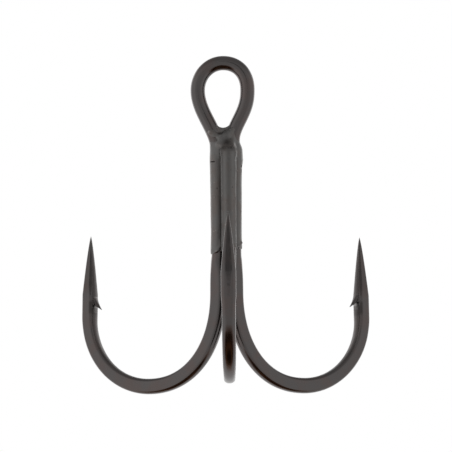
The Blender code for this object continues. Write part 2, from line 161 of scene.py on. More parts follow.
@dataclass(frozen=True)
class Layout:
    """Where the three wires lie, and the sizes that every sub-assembly shares."""

    overall_length: float = 35.05 * MM
    wire: float = 1.5 * MM
    leg_gap: float = 0.09 * MM
    front_shift: float = 0.27 * MM
    shank_spread: float = 0.10 * MM
    eye_half_width: float = 2.59 * MM
    eye_rise: float = 2.85 * MM
    eye_drop: float = 6.60 * MM
    eye_turn: float = 0.085
    eye_turn_fade: tuple[float, float] = (-0.85, -0.35)
    axis_x: float = 0.29 * MM
    neck_length: float = 1.30 * MM
    neck_inset: float = 0.07 * MM
    neck_power: float = 1.22
    eye_power_left: float = 2.0
    eye_power_right: float = 2.2
    bend_start_height: float = 10.40 * MM
    bare_leg: float = 4.05 * MM
    braze_lip: float = 0.30 * MM
    single_top_rise: float = 0.23 * MM

    @property
    def radius(self) -> float:
        """Radius of the wire."""
        return self.wire / 2

    @property
    def side_out(self) -> float:
        """Sideways distance of a side leg from the shank axis."""
        return (self.wire + self.leg_gap) / 2

    @property
    def side_back(self) -> float:
        """Distance of the side legs behind the shank axis."""
        return self.side_out * math.tan(math.radians(30.0))

    @property
    def side_radius(self) -> float:
        """Distance of a side leg from the shank axis."""
        return math.hypot(self.side_out, self.side_back)

    @property
    def front_out(self) -> float:
        """Distance of the single wire in front of the shank axis."""
        pitch = self.wire + self.leg_gap
        reach = self.side_out - self.front_shift
        return math.sqrt(pitch**2 - reach**2) - self.side_back

    @property
    def bend_floor(self) -> float:
        """Height of the outer face of the bends."""
        return self.eye_rise + self.radius - self.overall_length

    @property
    def bend_start(self) -> float:
        """Depth below the eye centre at which the bends start."""
        return -(self.bend_floor + self.bend_start_height)

    @property
    def braze_end(self) -> float:
        """Depth below the eye centre at which the braze ends."""
        return self.bend_start - self.bare_leg

    @property
    def single_top(self) -> float:
        """Depth of the cut top end of the single wire."""
        return self.eye_drop - self.single_top_rise

    def axis(self, hook: Hook) -> Array:
        """Where a hook's own plane meets the shank.

        Args:
            hook: Which hook.

        Returns:
            A point on the axis, at the height of the eye centre.
        """
        shift = self.front_shift if hook is Hook.FRONT else 0.0
        return np.array((self.axis_x + shift, -self.side_back, 0.0))

    def leg_out(self, hook: Hook) -> float:
        """Distance of a hook's leg from the shank axis."""
        return self.front_out if hook is Hook.FRONT else self.side_radius

    def leg_x(self, hook: Hook, drop: Number) -> Array:
        """X of a leg of the double wire at a depth below the eye centre.

        Args:
            hook: The left or the right hook.
            drop: Depth below the eye centre.

        Returns:
            X of the wire's centre at that depth.
        """
        drop = np.asarray(drop, float)
        leg = self.axis_x + hook.hand * self.side_out
        start = hook.hand * self.eye_half_width
        if hook is Hook.LEFT:
            return cosine(start, leg, np.clip(drop / self.eye_drop, 0.0, 1.0))
        neck, neck_drop = leg - self.neck_inset, self.eye_drop - self.neck_length
        share = np.clip(drop / neck_drop, 0.0, 1.0) ** self.neck_power
        upper = cosine(start, neck, share)
        lower = cosine(neck, leg, np.clip((drop - neck_drop) / self.neck_length, 0.0, 1.0))
        return np.where(drop < neck_drop, upper, lower)


@dataclass(frozen=True)
class HookForm:
    """The curve of one hook in its own plane, and the forged section along it."""

    gape_out: float = 16.50 * MM
    bend_out: float = 9.05 * MM
    gape_height: float = 8.15 * MM
    point_height: float = 16.86 * MM
    point_out: float = 16.32 * MM
    shank_power: float = 2.18
    point_power: float = 2.02
    bend_widening: float = 0.12 * MM
    start_thinning: float = 0.12 * MM
    bend_thinning: float = 0.34 * MM
    leg_narrowing: float = 0.05 * MM
    leg_thinning: float = 0.09 * MM
    barb_thickening: float = 0.06 * MM
    notch_end: float = 8.40 * MM
    taper_length: float = 6.2 * MM
    taper_power: float = 0.75
    tip_radius: float = 0.02 * MM
    die_lead: float = 0.4
    die_run: float = 0.5
    curve_samples: int = 400
    leg_samples: int = 300

    def quarter(self, start: Array, end: Array, power: float, turn_first: bool) -> Array:
        """Points of a quarter of a superellipse between two (out, height) points.

        Args:
            start: First point.
            end: Last point.
            power: 2 for an ellipse; more for a squarer curve.
            turn_first: True where the curve leaves its start level.

        Returns:
            An array of points.
        """
        angle = np.linspace(0.0, 0.5 * np.pi, self.curve_samples)[1:, None]
        near = np.clip(np.cos(angle), 0.0, 1.0) ** (2.0 / power)
        far = np.sin(angle) ** (2.0 / power)
        if turn_first:
            out = mix(start[0], end[0], far)
            height = mix(end[1], start[1], near)
        else:
            out = mix(end[0], start[0], near)
            height = mix(start[1], end[1], far)
        return np.hstack((out, height))

    def profile(self, layout: Layout, shank_out: float) -> Array:
        """Centreline of one hook from the bend start to the tip.

        Args:
            layout: The shared sizes.
            shank_out: Distance of the leg from the shank axis at the bend start.

        Returns:
            An array of (out, height) points.
        """
        floor = layout.bend_floor
        start = np.array((shank_out, floor + layout.bend_start_height))
        bottom = np.array((self.bend_out, floor + (layout.wire + self.bend_widening) / 2))
        side = np.array((self.gape_out, floor + self.gape_height))
        tip = np.array((self.point_out, floor + self.point_height))
        leg = np.linspace(side, tip, self.leg_samples)[1:]
        return np.vstack(
            (
                start[None],
                self.quarter(start, bottom, self.shank_power, False),
                self.quarter(bottom, side, self.point_power, True),
                leg,
            )
        )

    def section(self, layout: Layout, from_tip: Array, out: Array) -> tuple[Array, Array, Array]:
        """The wire's section along a hook.

        Args:
            layout: The shared sizes.
            from_tip: Distance back from the tip along the wire.
            out: Distance out from the shank axis.

        Returns:
            Width in the hook's plane, thickness across it, and how far the dies flattened
            the sides, from 0 to 1.
        """
        wire = layout.wire
        sinking = smooth(0.0, self.bend_out, out)
        rising = smooth(self.bend_out, self.gape_out, out)
        bulge = 1.0 - smooth(self.notch_end, self.notch_end + wire, from_tip)
        width = mix(wire + self.bend_widening, wire - self.leg_narrowing, rising)
        bend = mix(wire - self.start_thinning, wire - self.bend_thinning, sinking)
        thickness = mix(bend, wire - self.leg_thinning, rising)
        thickness = mix(thickness, wire + self.barb_thickening, bulge)
        forged = smooth(0.0, self.die_run, self.die_lead + sinking)
        least = self.tip_radius / (wire / 2)
        scale = np.clip(from_tip / self.taper_length, 0.0, 1.0) ** self.taper_power
        scale = np.maximum(least, scale)
        return width * scale, thickness * scale, forged


@dataclass(frozen=True)
class GroundPoint:
    """The flats that the grinding wheel leaves on a point, measured back from the tip.

    A face's direction is its angle round the wire: 0 on the gape side, 180 on the outer.
    """

    outer_peak: float = 5.8 * MM
    outer_end: float = 7.7 * MM
    outer_depth: float = 0.062
    outer_tip_share: float = 0.6
    cheek_end: float = 6.9 * MM
    cheek_fade: float = 0.7
    cheek_depth: float = 0.10
    cheek_angle: float = 58.0
    crispness: float = 60.0

    def faces(self, from_tip: Array) -> list[tuple[float, Array]]:
        """Each ground face as its direction and its depth along the wire.

        Args:
            from_tip: Distance back from the tip.

        Returns:
            Pairs of an angle in radians and the share of the radius ground away.
        """
        rising = smooth(0.0, self.outer_peak, from_tip)
        ending = 1.0 - smooth(self.outer_peak, self.outer_end, from_tip)
        outer = self.outer_depth * mix(self.outer_tip_share, 1.0, rising) * ending
        fading = smooth(self.cheek_fade * self.cheek_end, self.cheek_end, from_tip)
        cheek = self.cheek_depth * (1.0 - fading)
        turn = math.radians(self.cheek_angle)
        return [(math.pi, outer), (turn, cheek), (-turn, cheek)]


@dataclass(frozen=True)
class Barb:
    """A barb raised from the gape side by one slanting cut, and the notch behind it."""

    start: float = 6.20 * MM
    tip: float = 7.62 * MM
    proud: float = 0.74 * MM
    root_half: float = 0.52 * MM
    tip_half: float = 0.10 * MM
    notch_depth: float = 0.15 * MM
    notch_apex: float = 7.02 * MM
    notch_end: float = 7.90 * MM
    flare: float = 1.35
    slimming: float = 1.3
    squareness: float = 0.8
    sink: float = 0.3 * MM
    edge: float = 0.02 * MM
    under_gap: float = 0.03 * MM
    under_curve: float = 1.15
    floor_curve: float = 0.7
    steps: int = 14
    around: int = 20
    notch_steps: int = 8

    def sliver(self, place: Callable[[float, float, float], Array]) -> list[Array]:
        """Rings of the raised sliver, from inside the wire to its sharp tip.

        Args:
            place: Turns (from tip, proud of the face, across) into a point in space.

        Returns:
            Rings of points.
        """
        rings = []
        for i in range(self.steps + 1):
            t = i / self.steps
            along = mix(self.start, self.tip, t)
            top = mix(0.0, self.proud, t**self.flare)
            under = min(-self.sink, top - self.edge) if t < 1.0 else top - self.edge
            half = mix(self.root_half, self.tip_half, t**self.slimming)
            ring = []
            for k in range(self.around):
                turn = 2.0 * math.pi * (k + 0.5) / self.around
                bow = abs(math.cos(turn)) ** self.squareness
                side = half * math.copysign(bow, math.cos(turn))
                rise = 0.5 * (top + under) + 0.5 * (top - under) * math.sin(turn)
                ring.append(place(along, rise, side))
            rings.append(np.array(ring))
        return rings

    def notch(self, place: Callable[[float, float, float], Array], reach: float) -> list[Array]:
        """Rings of the cutter that opens the notch under the barb.

        Args:
            place: Turns (from tip, proud of the face, across) into a point in space.
            reach: Half the cutter's width.

        Returns:
            Two rings of points.
        """
        high = 1.3 * self.proud
        outline = [(self.notch_apex, -self.notch_depth)]
        for i in range(1, self.notch_steps + 1):
            t = i / self.notch_steps
            rise = mix(-self.notch_depth, self.proud - self.under_gap, t**self.under_curve)
            outline.append((mix(self.notch_apex, self.tip, t), rise))
        outline.append((self.tip + 0.06 * MM, high))
        outline.append((self.notch_end + 0.3 * MM, high))
        outline.append((self.notch_end + 0.05 * MM, 0.06 * MM))
        floor_steps = self.notch_steps - 1
        for i in range(floor_steps):
            t = 1.0 - i / floor_steps
            sunk = -self.notch_depth * math.cos(0.5 * math.pi * t) ** self.floor_curve
            outline.append((mix(self.notch_apex, self.notch_end, t), sunk + 0.01 * MM * t))
        return [
            np.array([place(along, rise, side) for along, rise in outline])
            for side in (-reach, reach)
        ]


# --- wire meshes --------------------------------------------------------------------


@dataclass
class WirePath:
    """A wire's centreline, closely sampled, with the section at each sample."""

    centre: Array
    across: Array
    width: Array
    thickness: Array
    forged: Array
    from_tip: Array

    def joined(self, other: "WirePath") -> "WirePath":
        """This path followed by another."""
        return WirePath(
            *(
                np.concatenate((getattr(self, name), getattr(other, name)))
                for name in self.__dataclass_fields__
            )
        )

    def picked(self, samples: slice) -> "WirePath":
        """The path through some of its samples."""
        return WirePath(*(getattr(self, name)[samples] for name in self.__dataclass_fields__))

    def resampled(self, spacing: float, fine: float) -> "WirePath":
        """The path at even steps, closer together towards a tip.

        Args:
            spacing: Step along the plain wire.
            fine: Step along the ground points.

        Returns:
            The new path.
        """
        steps = np.linalg.norm(np.diff(self.centre, axis=0), axis=1)
        size = mix(fine, spacing, smooth(2.0 * MM, 10.0 * MM, self.from_tip))
        cost = np.concatenate(((0.0,), np.cumsum(steps / (0.5 * (size[1:] + size[:-1])))))
        wanted = np.linspace(0.0, cost[-1], int(cost[-1]) + 2)
        values = {}
        for name in self.__dataclass_fields__:
            old = getattr(self, name)
            if old.ndim == 1:
                values[name] = np.interp(wanted, cost, old)
            else:
                columns = [np.interp(wanted, cost, old[:, k]) for k in range(3)]
                values[name] = np.stack(columns, axis=1)
        return WirePath(**values)

    def frames(self) -> tuple[Array, Array, Array]:
        """Tangent, gape side and across at each sample.

        Returns:
            Three rows of unit vectors for each sample.
        """
        tangent = unit(np.gradient(self.centre, axis=0))
        along = np.sum(self.across * tangent, axis=1, keepdims=True)
        across = unit(self.across - tangent * along)
        return tangent, unit(np.cross(across, tangent)), across

    def lengths(self) -> Array:
        """Distance of each sample from the start of the path."""
        steps = np.linalg.norm(np.diff(self.centre, axis=0), axis=1)
        return np.concatenate(((0.0,), np.cumsum(steps)))


@dataclass
class WireSkin:
    """Turns a path into the surface of a forged, ground and barbed wire."""

    around: int = 96
    die_bulge: float = 1.12
    die_power: float = 2.5
    die_crispness: float = 26.0
    least: float = 1e-3
    point: GroundPoint = field(default_factory=GroundPoint)

    def radii(self, path: WirePath) -> Array:
        """Distance of the surface from the centreline, for each sample and direction.

        Args:
            path: The wire.

        Returns:
            Rows for samples and columns for directions.
        """
        angle = 2.0 * np.pi * np.arange(self.around) / self.around
        c, s = np.cos(angle)[None], np.sin(angle)[None]
        a = path.width[:, None] / 2
        h = path.thickness[:, None] / 2
        forged = path.forged[:, None]
        b = h * mix(1.0, self.die_bulge, forged)
        power = mix(2.0, self.die_power, forged)
        oval = ((np.abs(c) / a) ** power + (np.abs(s) / b) ** power) ** (-1.0 / power)
        flat = h / np.maximum(np.abs(s), self.least)
        crisp = self.die_crispness
        radius = oval * (1.0 + forged * (oval / flat) ** crisp) ** (-1.0 / crisp)
        crisp = self.point.crispness
        for turn, depth in self.point.faces(path.from_tip):
            facing = np.cos(angle - turn)[None]
            support = np.max(radius * facing, axis=1, keepdims=True)
            plane = support * (1.0 - depth[:, None]) / np.maximum(facing, self.least)
            ratio = np.clip(radius / plane, 0.0, 2.0)
            cut = radius * (1.0 + ratio**crisp) ** (-1.0 / crisp)
            ground = (facing > 0.0) & (depth[:, None] > 0.1 * self.least)
            radius = np.where(ground, cut, radius)
        return radius

    def rings(self, path: WirePath) -> Array:
        """Points of the surface, as (sample, direction, xyz).

        Args:
            path: The wire.

        Returns:
            One ring of points for each sample.
        """
        _, inward, across = path.frames()
        angle = 2.0 * np.pi * np.arange(self.around) / self.around
        radius = self.radii(path)[..., None]
        reach = inward[:, None] * np.cos(angle)[None, :, None]
        side = across[:, None] * np.sin(angle)[None, :, None]
        return path.centre[:, None] + radius * (reach + side)


def loft(name: str, rings: Array | list[Array]) -> bpy.types.Object:
    """A closed mesh through rings of equal count, capped at both ends.

    Args:
        name: Name of the object.
        rings: Rings of points, in order.

    Returns:
        The object, not yet in any collection.
    """
    rings = np.asarray(rings, float)
    rows, count = rings.shape[:2]
    points = np.vstack((rings.reshape(-1, 3), rings[0].mean(0), rings[-1].mean(0)))
    i, j = np.meshgrid(np.arange(rows - 1), np.arange(count), indexing="ij")
    right = (j + 1) % count
    quads = np.stack(
        (i * count + j, i * count + right, (i + 1) * count + right, (i + 1) * count + j), -1
    ).reshape(-1, 4)
    faces = [tuple(quad) for quad in quads.tolist()]
    first, last = rows * count, rows * count + 1
    base = (rows - 1) * count
    for k in range(count):
        n = (k + 1) % count
        faces.append((n, k, first))
        faces.append((base + k, base + n, last))
    mesh = bpy.data.meshes.new(name)
    mesh.from_pydata(points.tolist(), [], faces)
    turn_outward(mesh)
    return bpy.data.objects.new(name, mesh)


def turn_outward(mesh: bpy.types.Mesh) -> None:
    """Turn every face of a closed mesh to face out.

    Args:
        mesh: A closed mesh.
    """
    work = bmesh.new()
    work.from_mesh(mesh)
    bmesh.ops.recalc_face_normals(work, faces=work.faces)
    if work.calc_volume(signed=True) < 0.0:
        bmesh.ops.reverse_faces(work, faces=work.faces)
    work.to_mesh(mesh)
    work.free()


def vectors_of(mesh: bpy.types.Mesh, key: str) -> Array:
    """One vector for each point of a mesh, as an array.

    Args:
        mesh: The mesh to read.
        key: What to read, as the mesh calls it.

    Returns:
        One row for each point.
    """
    found = np.empty(len(mesh.vertices) * 3, np.float32)
    mesh.vertices.foreach_get(key, found)
    return found.reshape(-1, 3).astype(float)


def points_of(mesh: bpy.types.Mesh) -> Array:
    """The mesh's points as an array."""
    return vectors_of(mesh, "co")


def normals_of(mesh: bpy.types.Mesh) -> Array:
    """The mesh's point normals as an array."""
    return vectors_of(mesh, "normal")


def store(mesh: bpy.types.Mesh, measure: Surface, values: Array) -> None:
    """Keep one measure at each point of a mesh, for its finish to read.

    Args:
        mesh: The mesh to write to.
        measure: Which measure it is.
        values: A number or a vector for each point.
    """
    kind, key = ("FLOAT", "value") if values.ndim == 1 else ("FLOAT_VECTOR", "vector")
    attribute = mesh.attributes.new(measure.value, kind, "POINT")
    attribute.data.foreach_set(key, values.astype(np.float32).ravel())


def bulge_of(mesh: bpy.types.Mesh, rounds: int) -> Array:
    """How sharply the surface bends at each point, in 1/m: above 0 on a ridge.

    Args:
        mesh: A closed mesh.
        rounds: Times the result is averaged with its neighbours.

    Returns:
        One value for each point.
    """
    points, normals = points_of(mesh), normals_of(mesh)
    edges = np.empty(len(mesh.edges) * 2, np.int32)
    mesh.edges.foreach_get("vertices", edges)
    a, b = edges.reshape(-1, 2).T
    step = points[b] - points[a]
    square = np.maximum(np.sum(step * step, axis=1), 1e-12)
    count = np.bincount(a, minlength=len(points)) + np.bincount(b, minlength=len(points))
    count = np.maximum(count, 1)

    def gathered(at_a: Array, at_b: Array) -> Array:
        """Mean over each point's edges."""
        total = np.bincount(a, at_a, len(points)) + np.bincount(b, at_b, len(points))
        return total / count

    bend = gathered(
        -2.0 * np.sum(step * normals[a], axis=1) / square,
        2.0 * np.sum(step * normals[b], axis=1) / square,
    )
    for _ in range(rounds):
        bend = 0.5 * bend + 0.5 * gathered(bend[b], bend[a])
    return bend


def finished_mesh(source: bpy.types.Object, name: str) -> bpy.types.Mesh:
    """A plain mesh with the object's modifiers worked in.

    Args:
        source: The object.
        name: Name of the new mesh.

    Returns:
        The new mesh.
    """
    graph = bpy.context.evaluated_depsgraph_get()
    mesh = bpy.data.meshes.new_from_object(source.evaluated_get(graph))
    mesh.name = name
    mesh.materials.clear()
    mesh.polygons.foreach_set("material_index", np.zeros(len(mesh.polygons), np.int32))
    return mesh


def joined(
    target: bpy.types.Object, tools: list[tuple[bpy.types.Object, str]], name: str
) -> bpy.types.Object:
    """The target with each tool joined to it or cut from it, as a new plain object.

    Args:
        target: The mesh to work on.
        tools: Pairs of a closed mesh and UNION or DIFFERENCE.
        name: Name of the new object.

    Returns:
        The new object, in the scene.
    """
    scene = bpy.context.scene.collection
    scene.objects.link(target)
    for tool, operation in tools:
        scene.objects.link(tool)
        modifier = target.modifiers.new(tool.name, "BOOLEAN")
        modifier.object = tool
        modifier.operation = operation
        modifier.solver = "MANIFOLD"
    bpy.context.view_layer.update()
    mesh = finished_mesh(target, name)
    for old in [target] + [tool for tool, _ in tools]:
        spare = old.data
        bpy.data.objects.remove(old, do_unlink=True)
        bpy.data.meshes.remove(spare)
    made = bpy.data.objects.new(name, mesh)
    scene.objects.link(made)
    return made


def polish(obj: bpy.types.Object, crease: float) -> None:
    """Smooth shading, with edges sharper than the crease angle left crisp.

    Args:
        obj: The piece.
        crease: The crease angle, in degrees.
    """
    mesh = obj.data
    mesh.polygons.foreach_set("use_smooth", np.ones(len(mesh.polygons), bool))
    mesh.set_sharp_from_angle(angle=math.radians(crease))
    mesh.update()


# --- shader building ----------------------------------------------------------------


class Value:
    """One number of a shader that changes over the surface; sums on it add Math nodes."""

    def __init__(self, shop: "Shop", socket: bpy.types.NodeSocket) -> None:
        """Wrap a socket of the shop's tree."""
        self.shop = shop
        self.socket = socket

    def _math(self, operation: str, first: Any, second: Any) -> "Value":
        """One Math node on two values."""
        node = self.shop.node("ShaderNodeMath", {"operation": operation}, {0: first, 1: second})
        return Value(self.shop, node.outputs[0])

    def __add__(self, other: "Value | float") -> "Value":
        """Sum."""
        return self._math("ADD", self, other)

    def __radd__(self, other: float) -> "Value":
        """Sum, the number first."""
        return self._math("ADD", other, self)

    def __sub__(self, other: "Value | float") -> "Value":
        """Difference."""
        return self._math("SUBTRACT", self, other)

    def __rsub__(self, other: float) -> "Value":
        """Difference, the number first."""
        return self._math("SUBTRACT", other, self)

    def __mul__(self, other: "Value | float") -> "Value":
        """Product."""
        return self._math("MULTIPLY", self, other)

    def __rmul__(self, other: float) -> "Value":
        """Product, the number first."""
        return self._math("MULTIPLY", other, self)

    def between(self, low: float, high: float) -> "Value":
        """0 below low, 1 above high, and an S curve between.

        Args:
            low: Where the change starts.
            high: Where it ends.

        Returns:
            The new value.
        """
        node = self.shop.node(
            "ShaderNodeMapRange",
            {"interpolation_type": "SMOOTHSTEP"},
            {"Value": self, "From Min": low, "From Max": high, "To Min": 0.0, "To Max": 1.0},
        )
        return Value(self.shop, node.outputs["Result"])


class Shop:
    """Builds the nodes of one material or world."""

    def __init__(self, owner: bpy.types.Material | bpy.types.World) -> None:
        """Start on a material or a world, with an empty tree.

        Args:
            owner: The material or the world.
        """
        self.owner = owner
        owner.use_nodes = True
        self.tree = owner.node_tree
        self.tree.nodes.clear()

    def node(
        self, kind: str, settings: dict[str, Any] | None = None, inputs: dict[Any, Any] | None = None
    ) -> bpy.types.Node:
        """Add one node.

        Args:
            kind: The node's type.
            settings: Its own settings, set before its sockets.
            inputs: Values or links, by the socket's name or number.

        Returns:
            The node.
        """
        node = self.tree.nodes.new(kind)
        for key, value in (settings or {}).items():
            setattr(node, key, value)
        for key, value in (inputs or {}).items():
            socket = node.inputs[key]
            if isinstance(value, Value):
                self.tree.links.new(value.socket, socket)
            elif isinstance(value, bpy.types.NodeSocket):
                self.tree.links.new(value, socket)
            else:
                socket.default_value = value
        return node

    def measure(self, surface: Surface) -> Value:
        """A number that the mesh carries at each point."""
        settings = {"attribute_name": surface.value}
        return Value(self, self.node("ShaderNodeAttribute", settings).outputs["Fac"])

    def place(self, surface: Surface | None, scale: tuple[float, float, float]) -> Any:
        """A position for textures, in units of the given sizes.

        Args:
            surface: A position that the mesh carries, or None for the one in space.
            scale: Size of one texture unit along each axis, in metres.

        Returns:
            A vector socket.
        """
        if surface is None:
            source = self.node("ShaderNodeTexCoord").outputs["Object"]
        else:
            settings = {"attribute_name": surface.value}
            source = self.node("ShaderNodeAttribute", settings).outputs["Vector"]
        per_metre = tuple(1.0 / size for size in scale)
        node = self.node(
            "ShaderNodeVectorMath", {"operation": "MULTIPLY"}, {0: source, 1: per_metre}
        )
        return node.outputs["Vector"]

    def clouds(self, place: Any, detail: float = 3.0, roughness: float = 0.5) -> Value:
        """Soft noise from 0 to 1."""
        inputs = {"Vector": place, "Scale": 1.0, "Detail": detail, "Roughness": roughness}
        return Value(self, self.node("ShaderNodeTexNoise", None, inputs).outputs["Fac"])

    def cells(self, place: Any) -> Value:
        """Distance to the nearest of many scattered spots."""
        inputs = {"Vector": place, "Scale": 1.0}
        return Value(self, self.node("ShaderNodeTexVoronoi", None, inputs).outputs["Distance"])

    def tint(self, first: Any, second: Any, share: Value | float) -> Any:
        """Colour blended from the first to the second."""
        node = self.node("ShaderNodeMix", {"data_type": "RGBA"}, {0: share, 6: first, 7: second})
        return node.outputs[2]

    def bump(self, height: Value, depth: float, under: Any = None) -> Any:
        """Normal bent by a height, with a depth in metres.

        Args:
            height: How high each place stands, from 0 to 1.
            depth: Depth of a height of 1.
            under: A normal to start from.

        Returns:
            A normal socket.
        """
        inputs: dict[str, Any] = {"Height": height, "Distance": depth, "Strength": 1.0}
        if under is not None:
            inputs["Normal"] = under
        return self.node("ShaderNodeBump", None, inputs).outputs["Normal"]

    def metal(self, colour: Any, roughness: Value, normal: Any) -> bpy.types.Material:
        """Close the material with one metal surface.

        Args:
            colour: Base colour socket.
            roughness: How rough it is.
            normal: Normal socket.

        Returns:
            The material.
        """
        inputs = {
            "Base Color": colour,
            "Metallic": 1.0,
            "Roughness": roughness,
            "Normal": normal,
        }
        shader = self.node("ShaderNodeBsdfPrincipled", None, inputs)
        self.node("ShaderNodeOutputMaterial", None, {"Surface": shader.outputs["BSDF"]})
        return self.owner


# --- finishes -----------------------------------------------------------------------


def rgb(red: float, green: float, blue: float) -> tuple[float, float, float, float]:
    """An opaque colour."""
    return (red, green, blue, 1.0)


@dataclass(frozen=True)
class BlackNickel:
    """Black nickel over drawn and forged steel wire."""

    name: str
    tone: tuple[float, float, float] = (0.096, 0.089, 0.0875)
    warm: tuple[float, float, float] = (0.104, 0.087, 0.083)
    ridge_tone: tuple[float, float, float] = (0.190, 0.180, 0.175)
    shade_and_stain_tone: tuple[float, float, float] = (0.045, 0.039, 0.037)
    roughness: float = 0.17
    line_size: tuple[float, float, float] = (2.6 * MM, 0.11 * MM, 0.11 * MM)
    grain_size: tuple[float, float, float] = (0.16 * MM, 0.09 * MM, 0.09 * MM)
    wheel_size: tuple[float, float, float] = (0.035 * MM, 0.4 * MM, 0.4 * MM)
    patch_size: float = 1.9 * MM
    speck_size: float = 0.34 * MM
    line_depth: float = 0.003 * MM
    patch_depth: float = 0.02 * MM

    def material(self) -> bpy.types.Material:
        """The finished material."""
        shop = Shop(bpy.data.materials.new(self.name))
        ridge = shop.measure(Surface.RIDGE)
        hollow = shop.measure(Surface.HOLLOW)
        ground = shop.measure(Surface.GROUND)
        lines = shop.clouds(shop.place(Surface.STRAIGHT, self.line_size), 3.0, 0.6)
        patches = shop.clouds(shop.place(None, (self.patch_size,) * 3), 3.0, 0.55)
        grain = shop.clouds(shop.place(Surface.STRAIGHT, self.grain_size), 4.0, 0.6)
        wheel = shop.clouds(shop.place(Surface.STRAIGHT, self.wheel_size), 2.0, 0.5)
        specks = shop.cells(shop.place(None, (self.speck_size,) * 3))
        spots = (1.0 - specks.between(0.04, 0.12)) * patches.between(0.48, 0.62)

        colour = shop.tint(rgb(*self.tone), rgb(*self.warm), patches.between(0.40, 0.66))
        # Darker in the hollow mask: painted shade in creases and hollows, inside the bend and in the barb
        # notch. The specks and the ground point are darker too.
        colour = shop.tint(colour, rgb(*self.shade_and_stain_tone), hollow * 0.75 + spots * 0.35 + ground * 0.26)
        # Lighter on the ridges, where the plate wears.
        ridge_lightening = ridge * (0.35 + 0.65 * grain.between(0.35, 0.6))
        colour = shop.tint(colour, rgb(*self.ridge_tone), ridge_lightening * 0.55)
        roughness = (
            self.roughness
            + 0.07 * patches.between(0.35, 0.75)
            + 0.05 * lines.between(0.4, 0.7)
            + 0.02 * ground
            + 0.15 * hollow
            - 0.05 * ridge
        )
        height = 0.30 * lines * (1.0 - ground) + 0.25 * wheel * ground + 0.15 * grain - 0.6 * spots
        normal = shop.bump(height, self.line_depth, shop.bump(patches, self.patch_depth))
        return shop.metal(colour, roughness, normal)


@dataclass(frozen=True)
class PlatedBraze:
    """The same plate over brazing metal, which sets with ripples, pits and pinholes."""

    name: str
    tone: tuple[float, float, float] = (0.127, 0.123, 0.120)
    warm: tuple[float, float, float] = (0.134, 0.119, 0.112)
    ridge_tone: tuple[float, float, float] = (0.250, 0.240, 0.235)
    shade_and_stain_tone: tuple[float, float, float] = (0.036, 0.032, 0.030)
    bare: tuple[float, float, float] = (0.52, 0.47, 0.43)
    roughness: float = 0.30
    ripple_size: tuple[float, float, float] = (0.8 * MM, 0.8 * MM, 1.6 * MM)
    grain_size: float = 0.12 * MM
    patch_size: float = 1.4 * MM
    pit_size: float = 0.26 * MM
    fleck_size: float = 0.62 * MM
    pit_depth: float = 0.006 * MM
    ripple_depth: float = 0.05 * MM

    def material(self) -> bpy.types.Material:
        """The finished material."""
        shop = Shop(bpy.data.materials.new(self.name))
        ridge = shop.measure(Surface.RIDGE)
        hollow = shop.measure(Surface.HOLLOW)
        ripples = shop.clouds(shop.place(None, self.ripple_size), 3.0, 0.5)
        grain = shop.clouds(shop.place(None, (self.grain_size,) * 3), 4.0, 0.6)
        patches = shop.clouds(shop.place(None, (self.patch_size,) * 3), 3.0, 0.55)
        pits = shop.cells(shop.place(None, (self.pit_size,) * 3))
        holes = (1.0 - pits.between(0.05, 0.16)) * patches.between(0.42, 0.62)

        colour = shop.tint(rgb(*self.tone), rgb(*self.warm), patches.between(0.40, 0.68))
        # Darker in the hollow mask: painted shade in creases, the grooves and the pocket above the single
        # wire. The pits are darker too.
        colour = shop.tint(colour, rgb(*self.shade_and_stain_tone), hollow * 0.8 + holes * 0.5)
        # Lighter on the ridges and the folds: painted highlight, with some wear of the plate.
        ridge_lightening = ridge * (0.4 + 0.6 * grain.between(0.35, 0.6))
        colour = shop.tint(colour, rgb(*self.ridge_tone), ridge_lightening * 0.5)
        scattered = shop.cells(shop.place(None, (self.fleck_size,) * 3))
        flecks = (1.0 - scattered.between(0.05, 0.10)) * grain
        colour = shop.tint(colour, rgb(*self.bare), flecks * patches.between(0.45, 0.60) * 0.9)
        roughness = (
            self.roughness
            + 0.12 * patches.between(0.35, 0.75)
            + 0.12 * hollow
            - 0.05 * ridge
            + 0.06 * grain
        )
        height = 0.5 * grain - 1.2 * holes
        normal = shop.bump(height, self.pit_depth, shop.bump(ripples, self.ripple_depth))
        return shop.metal(colour, roughness, normal)


# --- sub-assemblies -----------------------------------------------------------------


@dataclass(frozen=True)
class BendAndNotchShade:
    """Painted shade inside the bend and in the notch under the barb, where the plate is also made rougher.

    Pairs are where a change starts and where it ends; turn is in degrees from the gape side.
    """

    turn: tuple[float, float] = (32.0, 52.0)
    start: tuple[float, float] = (0.3 * MM, 4.0 * MM)
    end: tuple[float, float] = (18.0 * MM, 27.0 * MM)
    notch_lead: float = 0.25 * MM
    notch_fade: float = 0.60 * MM
    lip: tuple[float, float] = (0.02 * MM, 0.10 * MM)
    core: tuple[float, float] = (0.20 * MM, 0.40 * MM)
    bend_share: float = 0.62
    notch_share: float = 0.90


